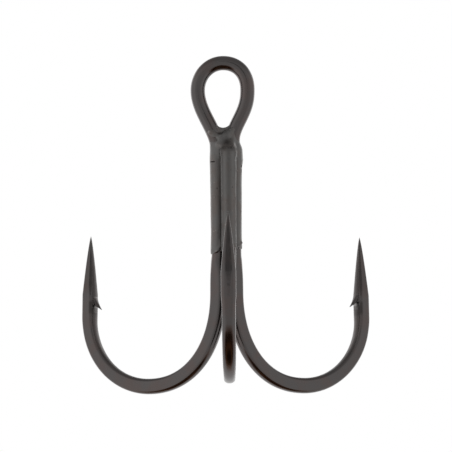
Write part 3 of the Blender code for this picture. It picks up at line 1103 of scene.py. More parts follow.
@dataclass
class HookWire:
    """What the double and the single wire share: bending, forging, points and barbs.

    Bends of the surface are in 1/m, and ground_fade is in shares of the point's taper.
    """

    layout: Layout
    form: HookForm = field(default_factory=HookForm)
    skin: WireSkin = field(default_factory=WireSkin)
    barb: Barb = field(default_factory=Barb)
    bend_notch_shade: BendAndNotchShade = field(default_factory=BendAndNotchShade)
    spacing: float = 0.13 * MM
    fine: float = 0.07 * MM
    crease: float = 50.0
    forging_samples: int = 60
    spread_lead: float = 0.55
    spread_run: float = 0.2
    flattening_run: float = 0.75
    ridge_bend: tuple[float, float] = (1500.0, 5000.0)
    hollow_bend: tuple[float, float] = (300.0, 3000.0)
    ground_fade: tuple[float, float] = (0.8, 1.1)

    def plain(self, centre: Array, across: Array) -> WirePath:
        """A stretch of wire still as drawn.

        Args:
            centre: Its centreline.
            across: The direction square to its bends.

        Returns:
            The stretch, far from any tip.
        """
        count = len(centre)
        size = np.full(count, self.layout.wire)
        far = np.full(count, self.layout.overall_length)
        across = np.broadcast_to(across, centre.shape)
        return WirePath(centre, np.array(across), size, size.copy(), np.zeros(count), far)

    def forging(self, hook: Hook) -> WirePath:
        """The stretch below the braze, over which the round wire turns flat-sided.

        Args:
            hook: Which hook.

        Returns:
            The stretch from the braze to the bend start.
        """
        layout = self.layout
        leg_out = layout.leg_out(hook)
        below = layout.braze_end + layout.braze_lip
        t = np.linspace(0.0, 1.0, self.forging_samples)[:-1]
        eased = mix(t, smooth(0.0, self.spread_run, t), self.spread_lead)
        out = mix(leg_out, leg_out + layout.shank_spread, eased)
        drop = mix(below, layout.bend_start, t)
        centre = layout.axis(hook) + hook.outward * out[:, None] - UP * drop[:, None]
        path = self.plain(centre, hook.across)
        far = np.full(1, layout.overall_length)
        width, thickness, forged = self.form.section(
            layout, far, np.full(1, leg_out + layout.shank_spread)
        )
        share = smooth(0.0, self.flattening_run, t)
        path.width = mix(path.width, width, share)
        path.thickness = mix(path.thickness, thickness, share)
        path.forged = mix(0.0, forged, share)
        return path

    def bend(self, hook: Hook) -> WirePath:
        """One hook from the bend start to its tip.

        Args:
            hook: Which hook.

        Returns:
            The stretch, ending at the tip.
        """
        layout = self.layout
        shank_out = layout.leg_out(hook) + layout.shank_spread
        profile = self.form.profile(layout, shank_out)
        rise = profile[:, 1:] - layout.bend_floor
        lift = hook.lift * smooth(0.0, self.form.gape_height, rise - layout.wire)
        lift *= smooth(self.form.bend_out, self.form.gape_out, profile[:, :1])
        centre = layout.axis(hook) + hook.outward * profile[:, :1] + UP * (profile[:, 1:] + lift)
        steps = np.linalg.norm(np.diff(profile, axis=0), axis=1)
        from_tip = np.concatenate((np.cumsum(steps[::-1])[::-1], (0.0,)))
        section = self.form.section(layout, from_tip, profile[:, 0])
        across = np.broadcast_to(hook.across, centre.shape)
        return WirePath(centre, np.array(across), *section, from_tip)

    def on_point(self, hook: Hook) -> Callable[[float, float, float], Array]:
        """Turns (from tip, proud of the gape side, across) into a point in space.

        Args:
            hook: Which hook.

        Returns:
            A function that places one point near the barb.
        """
        form, layout = self.form, self.layout
        axis, outward = layout.axis(hook), hook.outward
        base = layout.bend_floor + hook.lift
        tip = axis + outward * form.point_out + UP * (base + form.point_height)
        side = axis + outward * form.gape_out + UP * (base + form.gape_height)
        down = unit(side - tip)
        inward = unit(np.cross(down, hook.across))
        if inward @ outward > 0.0:
            inward = -inward
        face = (layout.wire - form.leg_narrowing) / 2

        def place(from_tip: float, proud: float, sideways: float) -> Array:
            """One point near the barb."""
            along = down * (from_tip + hook.barb_slip)
            return tip + along + inward * (face + proud) + hook.across * sideways

        return place

    def surface(self, path: WirePath, hooks: tuple[Hook, ...], name: str) -> bpy.types.Object:
        """The wire's mesh with a barb on each hook.

        Args:
            path: The centreline.
            hooks: The hooks that this wire ends in.
            name: Name of the piece.

        Returns:
            The piece, in the scene, with the measures that its finish reads.
        """
        fine = path.resampled(self.spacing, self.fine)
        body = loft(f"{name}_body", self.skin.rings(fine))
        tools = []
        for hook in hooks:
            place = self.on_point(hook)
            label = f"{name}_{hook.name.lower()}"
            tools.append((loft(f"{label}_barb", self.barb.sliver(place)), "UNION"))
            cutter = self.barb.notch(place, self.layout.wire)
            tools.append((loft(f"{label}_notch", cutter), "DIFFERENCE"))
        piece = joined(body, tools, name)
        self.measured(piece, fine)
        polish(piece, self.crease)
        return piece

    def measured(self, piece: bpy.types.Object, path: WirePath) -> None:
        """Store what the finish reads: a straightened position, ridges, grinding, and a mask of painted
        shade and rougher plate in hollows, inside the bend and in the notch.

        Args:
            piece: The finished wire.
            path: Its centreline.
        """
        mesh = piece.data
        tree = kdtree.KDTree(len(path.centre))
        for i, centre in enumerate(path.centre):
            tree.insert(centre, i)
        tree.balance()
        points = points_of(mesh)
        nearest = np.array([tree.find(point)[1] for point in points])
        tangent, inward, across = path.frames()
        away = points - path.centre[nearest]
        along = path.lengths()[nearest] + np.sum(away * tangent[nearest], axis=1)
        straight = np.stack(
            (
                along,
                np.sum(away * inward[nearest], axis=1),
                np.sum(away * across[nearest], axis=1),
            ),
            axis=1,
        )
        store(mesh, Surface.STRAIGHT, straight)
        bulge = bulge_of(mesh, 2)
        back = path.from_tip[nearest]
        store(mesh, Surface.RIDGE, smooth(*self.ridge_bend, bulge))
        # Painted shade: darker and rougher in hollows, inside the bend and in the notch.
        shade_and_dullness = np.maximum(smooth(*self.hollow_bend, -bulge), self.painted_shade_inside(straight, back))
        store(mesh, Surface.HOLLOW, shade_and_dullness)
        ground = 1.0 - smooth(*self.ground_fade, back / self.form.taper_length)
        store(mesh, Surface.GROUND, ground)

    def painted_shade_inside(self, straight: Array, back: Array) -> Array:
        """Painted shade, with a rougher plate, inside the bend and in the notch under the barb.

        Args:
            straight: Position along, to the gape side and across, for each point.
            back: Distance of each point back from the tip.

        Returns:
            0 to 1 for each point.
        """
        bend_notch_shade, barb = self.bend_notch_shade, self.barb
        proud = straight[:, 1]
        turn = np.degrees(np.arctan2(np.abs(straight[:, 2]), proud))
        inside = 1.0 - smooth(*bend_notch_shade.turn, turn)
        inside *= smooth(*bend_notch_shade.start, back) * (1.0 - smooth(*bend_notch_shade.end, back))
        notch = smooth(barb.notch_apex - bend_notch_shade.notch_lead, barb.notch_apex, back)
        notch *= 1.0 - smooth(barb.notch_end, barb.notch_end + bend_notch_shade.notch_fade, back)
        face = (self.layout.wire - self.form.leg_narrowing) / 2
        notch *= 1.0 - smooth(*bend_notch_shade.lip, proud - face)
        notch *= smooth(*bend_notch_shade.core, proud)
        return np.clip(bend_notch_shade.bend_share * inside + bend_notch_shade.notch_share * notch, 0.0, 1.0)


@dataclass
class DoubleHookWire(HookWire):
    """One wire bent round the eye, a hook at each end."""

    name: str = "double_hook_wire_plated"
    loop_samples: int = 300
    leg_samples: int = 120

    def loop(self, hook: Hook) -> WirePath:
        """Half of the eye from its top, and down to where the legs close.

        Args:
            hook: Which side of the eye.

        Returns:
            The stretch from the top of the eye to the legs.
        """
        layout = self.layout
        shape = layout.eye_power_left if hook is Hook.LEFT else layout.eye_power_right
        angle = np.linspace(0.0, 0.5 * np.pi, self.loop_samples)
        x = hook.hand * layout.eye_half_width * np.sin(angle) ** (2.0 / shape)
        z = layout.eye_rise * np.clip(np.cos(angle), 0.0, 1.0) ** (2.0 / shape)
        drop = np.linspace(0.0, layout.eye_drop, self.loop_samples)[1:-1]
        x = np.concatenate((x, layout.leg_x(hook, drop)))
        z = np.concatenate((z, -drop))
        turned = -layout.eye_turn * x * smooth(*layout.eye_turn_fade, z / layout.eye_drop)
        return self.plain(np.stack((x, turned, z), axis=1), TO_FRONT)

    def leg(self, hook: Hook) -> WirePath:
        """The straight leg, turning from the plane of the eye to the hook's.

        Args:
            hook: Which leg.

        Returns:
            The stretch from under the eye to the end of the braze.
        """
        layout = self.layout
        t = np.linspace(0.0, 1.0, self.leg_samples)[:-1, None]
        drop = mix(layout.eye_drop, layout.braze_end + layout.braze_lip, t)
        centre = layout.axis(hook) + hook.outward * layout.side_radius - UP * drop
        across = unit(mix(TO_FRONT, hook.across, t))
        return self.plain(centre, across)

    def build(self) -> bpy.types.Object:
        """The whole double wire."""
        halves = {}
        for hook in (Hook.LEFT, Hook.RIGHT):
            half = self.loop(hook).joined(self.leg(hook))
            halves[hook] = half.joined(self.forging(hook)).joined(self.bend(hook))
        backward, after_top = slice(None, None, -1), slice(1, None)
        path = halves[Hook.LEFT].picked(backward).joined(halves[Hook.RIGHT].picked(after_top))
        piece = self.surface(path, (Hook.LEFT, Hook.RIGHT), self.name)
        piece.data.materials.append(BlackNickel("black_nickel_double").material())
        return piece


@dataclass
class SingleHookWire(HookWire):
    """The third hook, laid against the other two, its top end cut off square."""

    name: str = "single_hook_wire_plated"
    corner: float = 0.45 * MM
    leg_samples: int = 400

    def leg(self) -> WirePath:
        """The straight leg from its cut end, with the corner of the cut tumbled round."""
        layout, hook = self.layout, Hook.FRONT
        below = layout.braze_end + layout.braze_lip
        drop = np.linspace(layout.single_top, below, self.leg_samples)[:-1]
        centre = layout.axis(hook) + hook.outward * layout.front_out - UP * drop[:, None]
        path = self.plain(centre, hook.across)
        depth = np.clip((drop - layout.single_top) / self.corner, 0.0, 1.0)
        inset = self.corner * (1.0 - np.sqrt(1.0 - (1.0 - depth) ** 2))
        path.width = path.width - 2.0 * inset
        path.thickness = path.thickness - 2.0 * inset
        return path

    def build(self) -> bpy.types.Object:
        """The whole single wire."""
        hook = Hook.FRONT
        path = self.leg().joined(self.forging(hook)).joined(self.bend(hook))
        piece = self.surface(path, (hook,), self.name)
        piece.data.materials.append(BlackNickel("black_nickel_single").material())
        return piece


@dataclass(frozen=True)
class Fold:
    """A round-backed fold between two points, all in millimetres."""

    start: tuple[float, float, float]
    end: tuple[float, float, float]
    radius: float


@dataclass(frozen=True)
class Dent:
    """An egg-shaped hollow: its centre and half sizes, all in millimetres."""

    centre: tuple[float, float, float]
    size: tuple[float, float, float]


@dataclass
class BrazeJoint:
    """The braze round the three wires: a thin coat, filled grooves, and a web under the eye.

    Worked out as a distance field and skinned, since it set as one smooth puddle.  The
    coat is given by its heights and its depth at each, and like the corners of the box
    that holds the joint, they are in millimetres.  Bends of the surface are in 1/m.
    """

    layout: Layout
    name: str = "braze_joint_plated"
    voxel: float = 0.062 * MM
    bury: float = 0.12 * MM
    coat_heights: tuple[float, ...] = (-3.3, -4.6, -5.5, -6.3, -7.3, -9.0, -11.6, -15.0, -16.5, -18.0)
    coat_depths: tuple[float, ...] = (-0.16, -0.07, 0.00, 0.10, 0.14, 0.115, 0.085, 0.065, 0.095, 0.11)
    fillet: float = 0.50 * MM
    groove: float = 0.50 * MM
    crotch_drop: float = 4.05 * MM
    crotch_radius: float = 0.74 * MM
    web_half: float = 0.56 * MM
    web_waist: float = 0.80
    top_rounding: float = 0.56 * MM
    ramp_slope: tuple[float, float] = (-0.746, 0.666)
    ramp_front: float = 2.06 * MM
    end_tilt: float = 0.17
    low_corner: tuple[float, float, float] = (-2.0, -2.8, -17.8)
    high_corner: tuple[float, float, float] = (2.6, 1.3, -3.3)
    settling_rounds: int = 3
    seed: int = 7
    ripple: float = 0.012 * MM
    ripple_size: float = 0.9 * MM
    spots: int = 105
    spot_sizes: tuple[float, float] = (0.06, 0.13)
    spot_depth: float = 0.42
    ridge_bend: tuple[float, float] = (1400.0, 4500.0)
    hollow_bend: tuple[float, float] = (600.0, 4000.0)
    crease: float = 60.0
    web_blend: float = 0.22 * MM
    head_blend: float = 0.85 * MM
    shoulder_blend: float = 0.45 * MM
    bead_blend: float = 0.16 * MM
    pocket_rim: float = 0.14 * MM
    pit_rim: float = 0.05 * MM
    # The V that ran down from the crotch of the eye, and its tail in the left groove.
    web_folds: tuple[Fold, ...] = (
        Fold((-1.30, -0.56, -4.45), (-0.38, -0.58, -5.12), 0.26),
        Fold((-0.38, -0.58, -5.12), (0.29, -0.58, -4.84), 0.26),
        Fold((0.29, -0.58, -4.84), (1.05, -0.56, -4.20), 0.25),
        Fold((-0.38, -0.62, -5.12), (-0.50, -0.80, -5.85), 0.24),
    )
    # Braze that set proud: at the lower edge, left and right, and one line near the top.
    beads: tuple[Fold, ...] = (
        Fold((-0.34, -0.74, -15.90), (-0.30, -0.80, -16.40), 0.10),
        Fold((-0.30, -0.80, -16.40), (-0.72, -0.78, -16.95), 0.11),
        Fold((1.86, -0.30, -16.05), (1.38, -0.75, -16.60), 0.11),
        Fold((0.62, -2.21, -7.66), (1.10, -2.04, -7.64), 0.07),
    )
    # Two pinholes at the lower edge, two hollows high on the right, and three small pits.
    pits: tuple[Dent, ...] = (
        Dent((-0.48, -0.62, -17.00), (0.11, 0.22, 0.09)),
        Dent((1.44, -0.62, -16.62), (0.13, 0.20, 0.08)),
        Dent((1.93, -0.25, -8.05), (0.10, 0.22, 0.16)),
        Dent((1.92, -0.20, -8.50), (0.09, 0.20, 0.22)),
        Dent((0.92, -2.27, -10.45), (0.09, 0.10, 0.10)),
        Dent((-0.62, -0.90, -10.40), (0.10, 0.10, 0.09)),
        Dent((-0.52, -0.92, -14.10), (0.08, 0.12, 0.10)),
    )
    shoulder: Fold = Fold((1.30, -0.05, -6.35), (1.32, -0.05, -7.4), 0.61)
    scratch: Fold = Fold((-1.40, -0.25, -7.56), (-0.92, -0.80, -7.60), 0.065)
    pocket: Dent = Dent((-0.98, -0.95, -5.28), (0.36, 0.26, 0.20))

    def coat(self, z: Array) -> Array:
        """Thickness of the coat at a height; below 0 it sinks into the wire.

        Args:
            z: Z of each place.

        Returns:
            The thickness at each place.
        """
        heights = np.array(self.coat_heights)[::-1] * MM
        depths = np.array(self.coat_depths)[::-1] * MM
        place = np.interp(z, heights, np.arange(len(heights)))
        low = np.clip(np.floor(place).astype(int), 0, len(heights) - 2)
        t = place - low
        slope = np.gradient(depths)
        a, b, sa, sb = depths[low], depths[low + 1], slope[low], slope[low + 1]
        return (
            (2 * t**3 - 3 * t**2 + 1) * a
            + (t**3 - 2 * t**2 + t) * sa
            + (-2 * t**3 + 3 * t**2) * b
            + (t**3 - t**2) * sb
        )

    def leg_distance(self, hook: Hook, x: Array, y: Array, z: Array) -> Array:
        """Distance from the centreline of one leg of the double wire.

        Args:
            hook: Which leg.
            x: X of each place.
            y: Y of each place.
            z: Z of each place.

        Returns:
            The distance at each place.
        """
        step = 0.1 * MM
        ahead, behind = self.layout.leg_x(hook, -z + step), self.layout.leg_x(hook, -z - step)
        lean = np.hypot(1.0, (ahead - behind) / (2.0 * step))
        return np.hypot((x - self.layout.leg_x(hook, -z)) / lean, y)

    def single_distance(self, x: Array, y: Array, z: Array, radius: Number) -> Array:
        """Distance field of the single wire grown to this radius, with a rounded top.

        Args:
            x: X of each place.
            y: Y of each place.
            z: Z of each place.
            radius: Radius that the wire is grown to.

        Returns:
            The distance at each place, below 0 inside.
        """
        layout = self.layout
        centre = layout.axis(Hook.FRONT) + Hook.FRONT.outward * layout.front_out
        out = np.hypot(x - centre[0], y - centre[1]) - radius
        grown = radius - layout.radius
        above = z + layout.single_top - grown
        rounding = self.top_rounding
        a, b = np.maximum(out + rounding, 0.0), np.maximum(above + rounding, 0.0)
        inside = np.minimum(np.maximum(out, above) + rounding, 0.0)
        return np.hypot(a, b) + inside - rounding

    def web(self, x: Array, y: Array, z: Array) -> Array:
        """The braze between the legs under the eye, hollowed at the crotch.

        Args:
            x: X of each place.
            y: Y of each place.
            z: Z of each place.

        Returns:
            The distance at each place, below 0 inside.
        """
        layout = self.layout
        left, right = layout.leg_x(Hook.LEFT, -z), layout.leg_x(Hook.RIGHT, -z)
        middle, half = 0.5 * (left + right), 0.5 * (right - left)
        edge, drop = 0.1 * MM, self.crotch_drop
        aside = np.clip(np.abs(x - middle) / half, 0.0, 1.0)
        slab = np.abs(y) - self.web_half * mix(self.web_waist, 1.0, aside**2)
        shape = common(slab, np.abs(x - middle) - half, edge)
        shape = common(shape, z + drop - 0.3 * MM, edge)
        at = 0.5 * float(layout.leg_x(Hook.LEFT, drop) + layout.leg_x(Hook.RIGHT, drop))
        crotch = np.hypot(x - at, z + drop - self.crotch_radius) - self.crotch_radius
        bottom = -z - layout.eye_drop - 1.0 * MM
        return common(carved(shape, crotch, 0.16 * MM), bottom, edge)

    def ramp(self, x: Array, y: Array, z: Array, radius: Number) -> Array:
        """The braze that runs from the web down on to the cut end of the single wire.

        Args:
            x: X of each place.
            y: Y of each place.
            z: Z of each place.
            radius: Radius of the braze round the single wire.

        Returns:
            The distance at each place, below 0 inside.
        """
        layout = self.layout
        centre = layout.axis(Hook.FRONT) + Hook.FRONT.outward * layout.front_out
        rise = smooth(-layout.single_top - 0.2 * MM, -layout.single_top + 1.5 * MM, z)
        middle = centre[0] - 0.12 * MM * rise
        stub = np.hypot(x - middle, y - centre[1] * mix(1.0, 0.55, rise)) - mix(radius, 0.36 * MM, rise)
        back, up = self.ramp_slope
        slope = back * (y + self.ramp_front) + up * (z + layout.single_top + 0.12 * MM)
        foot = -z - layout.eye_drop - 0.4 * MM
        return common(common(stub, slope, 0.5 * MM), foot, 0.1 * MM)

    def fold(self, x: Array, y: Array, z: Array, fold: Fold) -> Array:
        """Distance field of one fold.

        Args:
            x: X of each place.
            y: Y of each place.
            z: Z of each place.
            fold: The fold.

        Returns:
            The distance at each place, below 0 inside.
        """
        a, b = np.array(fold.start) * MM, np.array(fold.end) * MM
        line = b - a
        px, py, pz = x - a[0], y - a[1], z - a[2]
        t = np.clip((px * line[0] + py * line[1] + pz * line[2]) / (line @ line), 0.0, 1.0)
        gap = (px - t * line[0]) ** 2 + (py - t * line[1]) ** 2 + (pz - t * line[2]) ** 2
        return np.sqrt(gap) - fold.radius * MM

    def dent(self, x: Array, y: Array, z: Array, dent: Dent) -> Array:
        """Distance field of one hollow.

        Args:
            x: X of each place.
            y: Y of each place.
            z: Z of each place.
            dent: The hollow.

        Returns:
            The distance at each place, below 0 inside.
        """
        cx, cy, cz = (value * MM for value in dent.centre)
        sx, sy, sz = (value * MM for value in dent.size)
        reach = np.sqrt(((x - cx) / sx) ** 2 + ((y - cy) / sy) ** 2 + ((z - cz) / sz) ** 2)
        return (reach - 1.0) * min(sx, sy, sz)

    def distance(self, x: Array, y: Array, z: Array) -> Array:
        """Distance field of the whole joint: below 0 inside the braze.

        Args:
            x: X of each place.
            y: Y of each place.
            z: Z of each place.

        Returns:
            The distance at each place, below 0 inside.
        """
        layout = self.layout
        coat = self.coat(z)
        left = self.leg_distance(Hook.LEFT, x, y, z)
        right = self.leg_distance(Hook.RIGHT, x, y, z)
        grown = layout.radius + coat
        body = union(left - grown, right - grown, self.fillet)
        body = union(body, self.web(x, y, z), self.web_blend)
        for fold in self.web_folds:
            body = union(body, self.fold(x, y, z, fold), self.web_blend)
        cover = layout.radius + np.maximum(coat, 0.01 * MM) * 0.6
        single = self.single_distance(x, y, z, cover)
        single = union(single, self.ramp(x, y, z, cover), 0.30 * MM)
        head = smooth(-layout.single_top - 1.2 * MM, -layout.single_top + 0.2 * MM, z)
        body = union(body, single, mix(self.groove, self.head_blend, head))
        body = union(body, self.fold(x, y, z, self.shoulder), self.shoulder_blend)
        body = carved(body, self.dent(x, y, z, self.pocket), self.pocket_rim)
        for bead in self.beads:
            body = union(body, self.fold(x, y, z, bead), self.bead_blend)
        for pit in self.pits:
            body = carved(body, self.dent(x, y, z, pit), self.pit_rim)
        body = carved(body, self.fold(x, y, z, self.scratch), self.pit_rim)
        body = self.trimmed(body, x, y, z)
        buried = layout.radius - self.bury
        body = carved(body, np.minimum(left, right) - buried, 0.02 * MM)
        return carved(body, self.single_distance(x, y, z, buried), 0.02 * MM)

    def trimmed(self, body: Array, x: Array, y: Array, z: Array) -> Array:
        """The joint cut off at its wavy lower edge, and at the crotch of the eye.

        Args:
            body: Distance field of the joint so far.
            x: X of each place.
            y: Y of each place.
            z: Z of each place.

        Returns:
            The distance at each place, below 0 inside.
        """
        sway = 0.05 * MM * np.sin(x / (0.32 * MM) + 0.6) * np.cos(y / (0.5 * MM))
        end = -z - self.layout.braze_end + self.end_tilt * (x - self.layout.axis_x) + sway
        body = common(body, end, 0.20 * MM)
        return common(body, z + 3.6 * MM, 0.1 * MM)

    def skinned(self) -> bpy.types.Mesh:
        """The mesh on the surface of the field."""
        low, high = np.array(self.low_corner) * MM, np.array(self.high_corner) * MM
        counts = np.ceil((high - low) / self.voxel).astype(int)
        lines = [low[k] + self.voxel * np.arange(counts[k]) for k in range(3)]
        x, y, z = np.meshgrid(*lines, indexing="ij")
        values = self.distance(x, y, z) / self.voxel
        band = 3.0
        grid = openvdb.FloatGrid(band)
        grid.copyFromArray(np.clip(values, -band, band).astype(np.float32))
        points, triangles, quads = grid.convertToPolygons(isovalue=0.0, adaptivity=0.0)
        points = np.asarray(points, float) * self.voxel + low
        for _ in range(self.settling_rounds):
            points = self.settled(points)
        faces = [tuple(face) for face in np.asarray(triangles, int).tolist()]
        faces += [tuple(face) for face in np.asarray(quads, int).tolist()]
        mesh = bpy.data.meshes.new(self.name)
        mesh.from_pydata(points.tolist(), [], faces)
        self.drop_crumbs(mesh)
        turn_outward(mesh)
        return mesh

    def drop_crumbs(self, mesh: bpy.types.Mesh) -> None:
        """Delete the crumbs that the thin film round the wires breaks into.

        Args:
            mesh: The skinned joint.
        """
        ends = np.empty(2 * len(mesh.edges), int)
        mesh.edges.foreach_get("vertices", ends)
        one, two = ends.reshape(-1, 2).T
        shell = np.arange(len(mesh.vertices))
        while np.any(shell[one] != shell[two]):
            least = np.minimum(shell[one], shell[two])
            np.minimum.at(shell, one, least)
            np.minimum.at(shell, two, least)
            shell = shell[shell]
        loose = np.flatnonzero(np.bincount(shell)[shell] < len(shell) // 2)
        work = bmesh.new()
        work.from_mesh(mesh)
        work.verts.ensure_lookup_table()
        bmesh.ops.delete(work, geom=[work.verts[i] for i in loose], context="VERTS")
        work.to_mesh(mesh)
        work.free()

    def settled(self, points: Array) -> Array:
        """The points moved on to the surface of the field.

        Args:
            points: Points near the surface.

        Returns:
            The points on it.
        """
        step = 0.2 * self.voxel
        value = self.distance(*points.T)
        slope = np.empty_like(points)
        for k in range(3):
            shift = np.zeros(3)
            shift[k] = step
            ahead, behind = self.distance(*(points + shift).T), self.distance(*(points - shift).T)
            slope[:, k] = (ahead - behind) / (2.0 * step)
        size = np.maximum(np.sum(slope * slope, axis=1), 0.25)
        move = slope * (value / size)[:, None]
        return points - np.clip(move, -0.4 * self.voxel, 0.4 * self.voxel)

    def weathered(self, mesh: bpy.types.Mesh) -> None:
        """Ripple the surface as it set, with a few small pits and beads.

        Args:
            mesh: The skinned joint.
        """
        points, normals = points_of(mesh), normals_of(mesh)
        rng = np.random.default_rng(self.seed)
        height = np.empty(len(points))
        for i, point in enumerate(points):
            place = Vector(point) / self.ripple_size
            place.z *= 0.5
            height[i] = noise.fractal(place, 0.6, 2.0, 3)
        move = self.ripple * height
        outer = self.outermost(points)
        spots = points[rng.choice(np.flatnonzero(outer), self.spots, replace=False)]
        sizes = rng.uniform(*self.spot_sizes, len(spots)) * MM
        depths = rng.choice((-1.0, -0.7, 0.9), len(spots)) * self.spot_depth * sizes
        for spot, size, depth in zip(spots, sizes, depths):
            near = np.sum((points - spot) ** 2, axis=1)
            move += depth * np.exp(-near / (0.5 * size * size))
        points += normals * (move * outer)[:, None]
        mesh.vertices.foreach_set("co", points.astype(np.float32).ravel())
        mesh.update()

    def outermost(self, points: Array) -> Array:
        """1 on the outside of the braze, 0 in its channels.

        Args:
            points: Points of the surface.

        Returns:
            One value for each point.
        """
        x, y, z = points.T
        legs = np.minimum(
            self.leg_distance(Hook.LEFT, x, y, z), self.leg_distance(Hook.RIGHT, x, y, z)
        )
        radius = self.layout.radius
        clear = legs > radius - 0.5 * self.bury
        single = self.single_distance(x, y, z, radius - 0.5 * self.bury) > 0.0
        return (clear & single).astype(float)

    def groove_shade(self, points: Array) -> Array:
        """Painted shade, with a rougher plate, in the grooves and the pocket above the single wire.

        Args:
            points: Points of the surface.

        Returns:
            0 to 1 for each point.
        """
        x, y, z = points.T / MM
        front = 1.0 - smooth(-0.9, -0.3, y)
        left = hump(x, -0.25, 0.22) + 0.35 * hump(x, -0.42, 0.30)
        right, middle = hump(x, 1.32, 0.20), hump(x, 0.50, 0.22)
        grooves = (left + 0.7 * right + 0.22 * middle) * (1.0 - smooth(-6.5, -5.9, z))
        pocket = 1.2 * hump(x, 0.40, 0.36) * hump(z, -5.60, 0.40)
        pocket += 0.6 * hump(x, -0.95, 0.34) * hump(z, -5.35, 0.22)
        return np.clip(front * (0.8 * grooves + 0.9 * pocket), 0.0, 1.0)

    def build(self) -> bpy.types.Object:
        """The whole joint."""
        mesh = self.skinned()
        self.weathered(mesh)
        piece = bpy.data.objects.new(self.name, mesh)
        bpy.context.scene.collection.objects.link(piece)
        bulge = bulge_of(mesh, 4)
        store(mesh, Surface.RIDGE, smooth(*self.ridge_bend, bulge))
        # Painted shade in hollows, grooves and the pocket, where the plate is also rougher.
        shade_and_dullness = np.maximum(smooth(*self.hollow_bend, -bulge), self.groove_shade(points_of(mesh)))
        store(mesh, Surface.HOLLOW, shade_and_dullness)
        polish(piece, self.crease)
        mesh.materials.append(PlatedBraze("black_nickel_braze").material())
        return piece


# --- studio -------------------------------------------------------------------------


@dataclass(frozen=True)
class Room:
    """How the white room looks in the metal.

    Pairs are where a change starts and where it ends, as the part of the line of sight
    that goes that way: 1 is straight up, down, forward or sideways, 0 is square to it.
    """

    front_dim: float = 0.30
    front_edge: tuple[float, float] = (0.50, 0.93)
    lens_dim: float = 0.70
    lens_edge: tuple[float, float] = (0.983, 0.998)
    lens_height: float = 18.0
    ceiling_dim: float = 0.50
    ceiling_edge: tuple[float, float] = (0.35, 0.85)
    right_dim: float = 0.13
    right_edge: tuple[float, float] = (0.0, 0.8)
    table_dim: float = 0.955
    table_edge: tuple[float, float] = (0.55, 0.79)
    table_ends: tuple[float, float] = (0.20, 0.62)
    table_tone: tuple[float, float, float] = (1.0, 0.46, 0.22)
    spill: float = 0.22
    spill_start: tuple[float, float] = (0.88, 0.93)
    spill_end: tuple[float, float] = (0.95, 0.985)


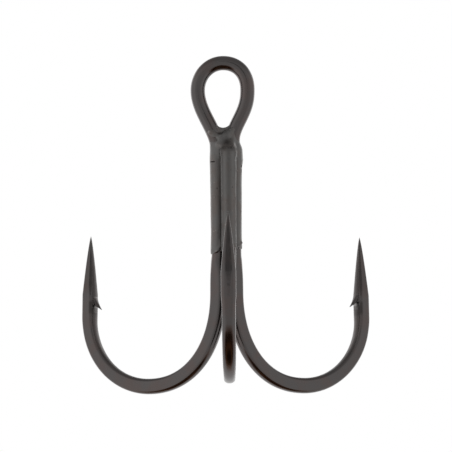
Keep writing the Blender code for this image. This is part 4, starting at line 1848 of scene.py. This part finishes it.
@dataclass
class Studio:
    """A white room with a pale floor, two soft lights, and a room that shows in the metal."""

    room: Room = field(default_factory=Room)
    floor_height: float = -0.32
    floor_size: float = 4.0
    floor_rows: int = 24
    aim: tuple[float, float, float] = (0.29 * MM, -0.456 * MM, -14.32 * MM)
    distance: float = 0.570
    elevation: float = -6.39
    azimuth: float = 0.87
    roll: float = 0.39
    shift: float = -0.037 * MM
    lens: float = 436.5
    sensor: float = 36.0
    light_size: tuple[float, float] = (0.5, 1.0)
    light_power: float = 1.2

    def floor(self) -> None:
        """A broad pale floor, well below the hook."""
        rows = self.floor_rows
        line = np.linspace(-0.5, 0.5, rows) * self.floor_size
        points = [(x, y, self.floor_height) for y in line for x in line]
        faces = [
            (r * rows + c, r * rows + c + 1, (r + 1) * rows + c + 1, (r + 1) * rows + c)
            for r in range(rows - 1)
            for c in range(rows - 1)
        ]
        mesh = bpy.data.meshes.new("studio_floor")
        mesh.from_pydata(points, [], faces)
        mesh.materials.append(self.paper())
        floor = bpy.data.objects.new("studio_floor", mesh)
        bpy.context.scene.collection.objects.link(floor)
        floor.visible_glossy = False

    def paper(self) -> bpy.types.Material:
        """Pale mottled paper that fades to white away from the hook."""
        shop = Shop(bpy.data.materials.new("studio_floor_paper"))
        mottle = shop.clouds(shop.place(None, (0.05, 0.05, 0.05)))
        colour = shop.tint(rgb(0.86, 0.86, 0.86), rgb(0.90, 0.90, 0.90), mottle)
        spread = shop.node("ShaderNodeSeparateXYZ", None, {0: shop.place(None, (1.0, 1.0, 1.0))})
        across, back = (Value(shop, spread.outputs[k]) for k in (0, 1))
        away = (across * across + back * back).between(0.10, 2.2)
        colour = shop.tint(colour, rgb(1.0, 1.0, 1.0), away)
        shader = shop.node("ShaderNodeBsdfPrincipled", None, {"Base Color": colour, "Roughness": 0.9})
        shop.node("ShaderNodeOutputMaterial", None, {"Surface": shader.outputs["BSDF"]})
        return shop.owner

    def world(self) -> None:
        """A white room that the metal sees shaded: dim in front and above, dark below."""
        world = bpy.data.worlds.new("white_room")
        room, shop = self.room, Shop(world)
        way = shop.node("ShaderNodeTexCoord").outputs["Generated"]
        x, y, z = (Value(shop, out) for out in shop.node("ShaderNodeSeparateXYZ", None, {0: way}).outputs)
        front, down = 0.0 - y, 0.0 - z
        spot = math.radians(room.lens_height)
        ahead = z * math.sin(spot) - y * math.cos(spot)
        narrow = 1.0 - (x * x).between(*room.table_ends)
        table = (down - 0.26 * y.between(-0.2, 0.5)).between(*room.table_edge) * narrow
        light = (
            (1.0 - room.front_dim * front.between(*room.front_edge))
            * (1.0 - room.lens_dim * ahead.between(*room.lens_edge))
            * (1.0 - room.ceiling_dim * z.between(*room.ceiling_edge))
            * (1.0 - room.right_dim * x.between(*room.right_edge))
            * (1.0 - room.table_dim * table)
        )
        spill = (down.between(*room.spill_start) - down.between(*room.spill_end)) * narrow
        gloss = Value(shop, shop.node("ShaderNodeLightPath").outputs["Is Glossy Ray"])
        strength = 1.0 + gloss * (light + room.spill * spill - 1.0)
        colour = shop.tint(rgb(1.0, 1.0, 1.0), rgb(*room.table_tone), gloss * table)
        back = shop.node("ShaderNodeBackground", None, {"Color": colour, "Strength": strength})
        shop.node("ShaderNodeOutputWorld", None, {"Surface": back.outputs["Background"]})
        bpy.context.scene.world = world
        bpy.context.scene.view_settings.view_transform = "Standard"

    def softbox(self, name: str, place: tuple[float, float, float]) -> None:
        """A large soft light aimed at the hook.

        Args:
            name: Name of the light.
            place: Where it stands, in metres.
        """
        light = bpy.data.lights.new(name, "AREA")
        light.shape = "RECTANGLE"
        light.size, light.size_y = self.light_size
        light.energy = self.light_power
        away = Vector(place) - Vector(self.aim)
        facing = away.to_track_quat("Z", "Y").to_matrix().to_4x4()
        self.shown(light, Matrix.Translation(place) @ facing).visible_camera = False

    def shown(self, data: bpy.types.ID, stand: Matrix) -> bpy.types.Object:
        """Put a light or a camera into the scene.

        Args:
            data: The light or the camera.
            stand: Where it stands and which way it faces.

        Returns:
            The object that holds it.
        """
        obj = bpy.data.objects.new(data.name, data)
        obj.matrix_world = stand
        bpy.context.scene.collection.objects.link(obj)
        return obj

    def camera(self) -> None:
        """A long lens a little below the hook, looking slightly up."""
        rise, turn, roll = map(math.radians, (self.elevation, self.azimuth, self.roll))
        facing = (
            Matrix.Rotation(-turn, 3, "Z")
            @ Matrix.Rotation(0.5 * math.pi - rise, 3, "X")
            @ Matrix.Rotation(-roll, 3, "Z")
        )
        right = Vector((math.cos(turn), -math.sin(turn), 0.0))
        place = Vector(self.aim) - facing @ Vector((0.0, 0.0, -self.distance)) + right * self.shift
        lens = bpy.data.cameras.new("camera")
        lens.sensor_width, lens.lens = self.sensor, self.lens
        lens.clip_start, lens.clip_end = 0.01, 10.0
        stand = Matrix.Translation(place) @ facing.to_4x4()
        bpy.context.scene.camera = self.shown(lens, stand)

    def build(self) -> None:
        """Set up the whole studio."""
        self.world()
        self.camera()
        self.floor()
        self.softbox("left_softbox", (-0.75, 0.75, 0.10))
        self.softbox("right_softbox", (0.75, 0.75, 0.10))


def main() -> None:
    """Build each sub-assembly, dress it, and put it where its node stands."""
    logging.basicConfig(level=logging.INFO, format="%(name)s: %(message)s")
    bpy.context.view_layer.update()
    Studio().build()
    layout = Layout()
    for maker, node, slot in (
        (DoubleHookWire(layout), "double_hook_wire", "double_wire_plate"),
        (SingleHookWire(layout), "single_hook_wire", "single_wire_plate"),
        (BrazeJoint(layout), "braze_joint", "braze_plate"),
    ):
        piece = maker.build()
        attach(piece, "root")
        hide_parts(node)
        LOG.info("%s: %d points, %d faces", piece.name, len(piece.data.vertices), len(piece.data.polygons))


if __name__ == "__main__":
    main()
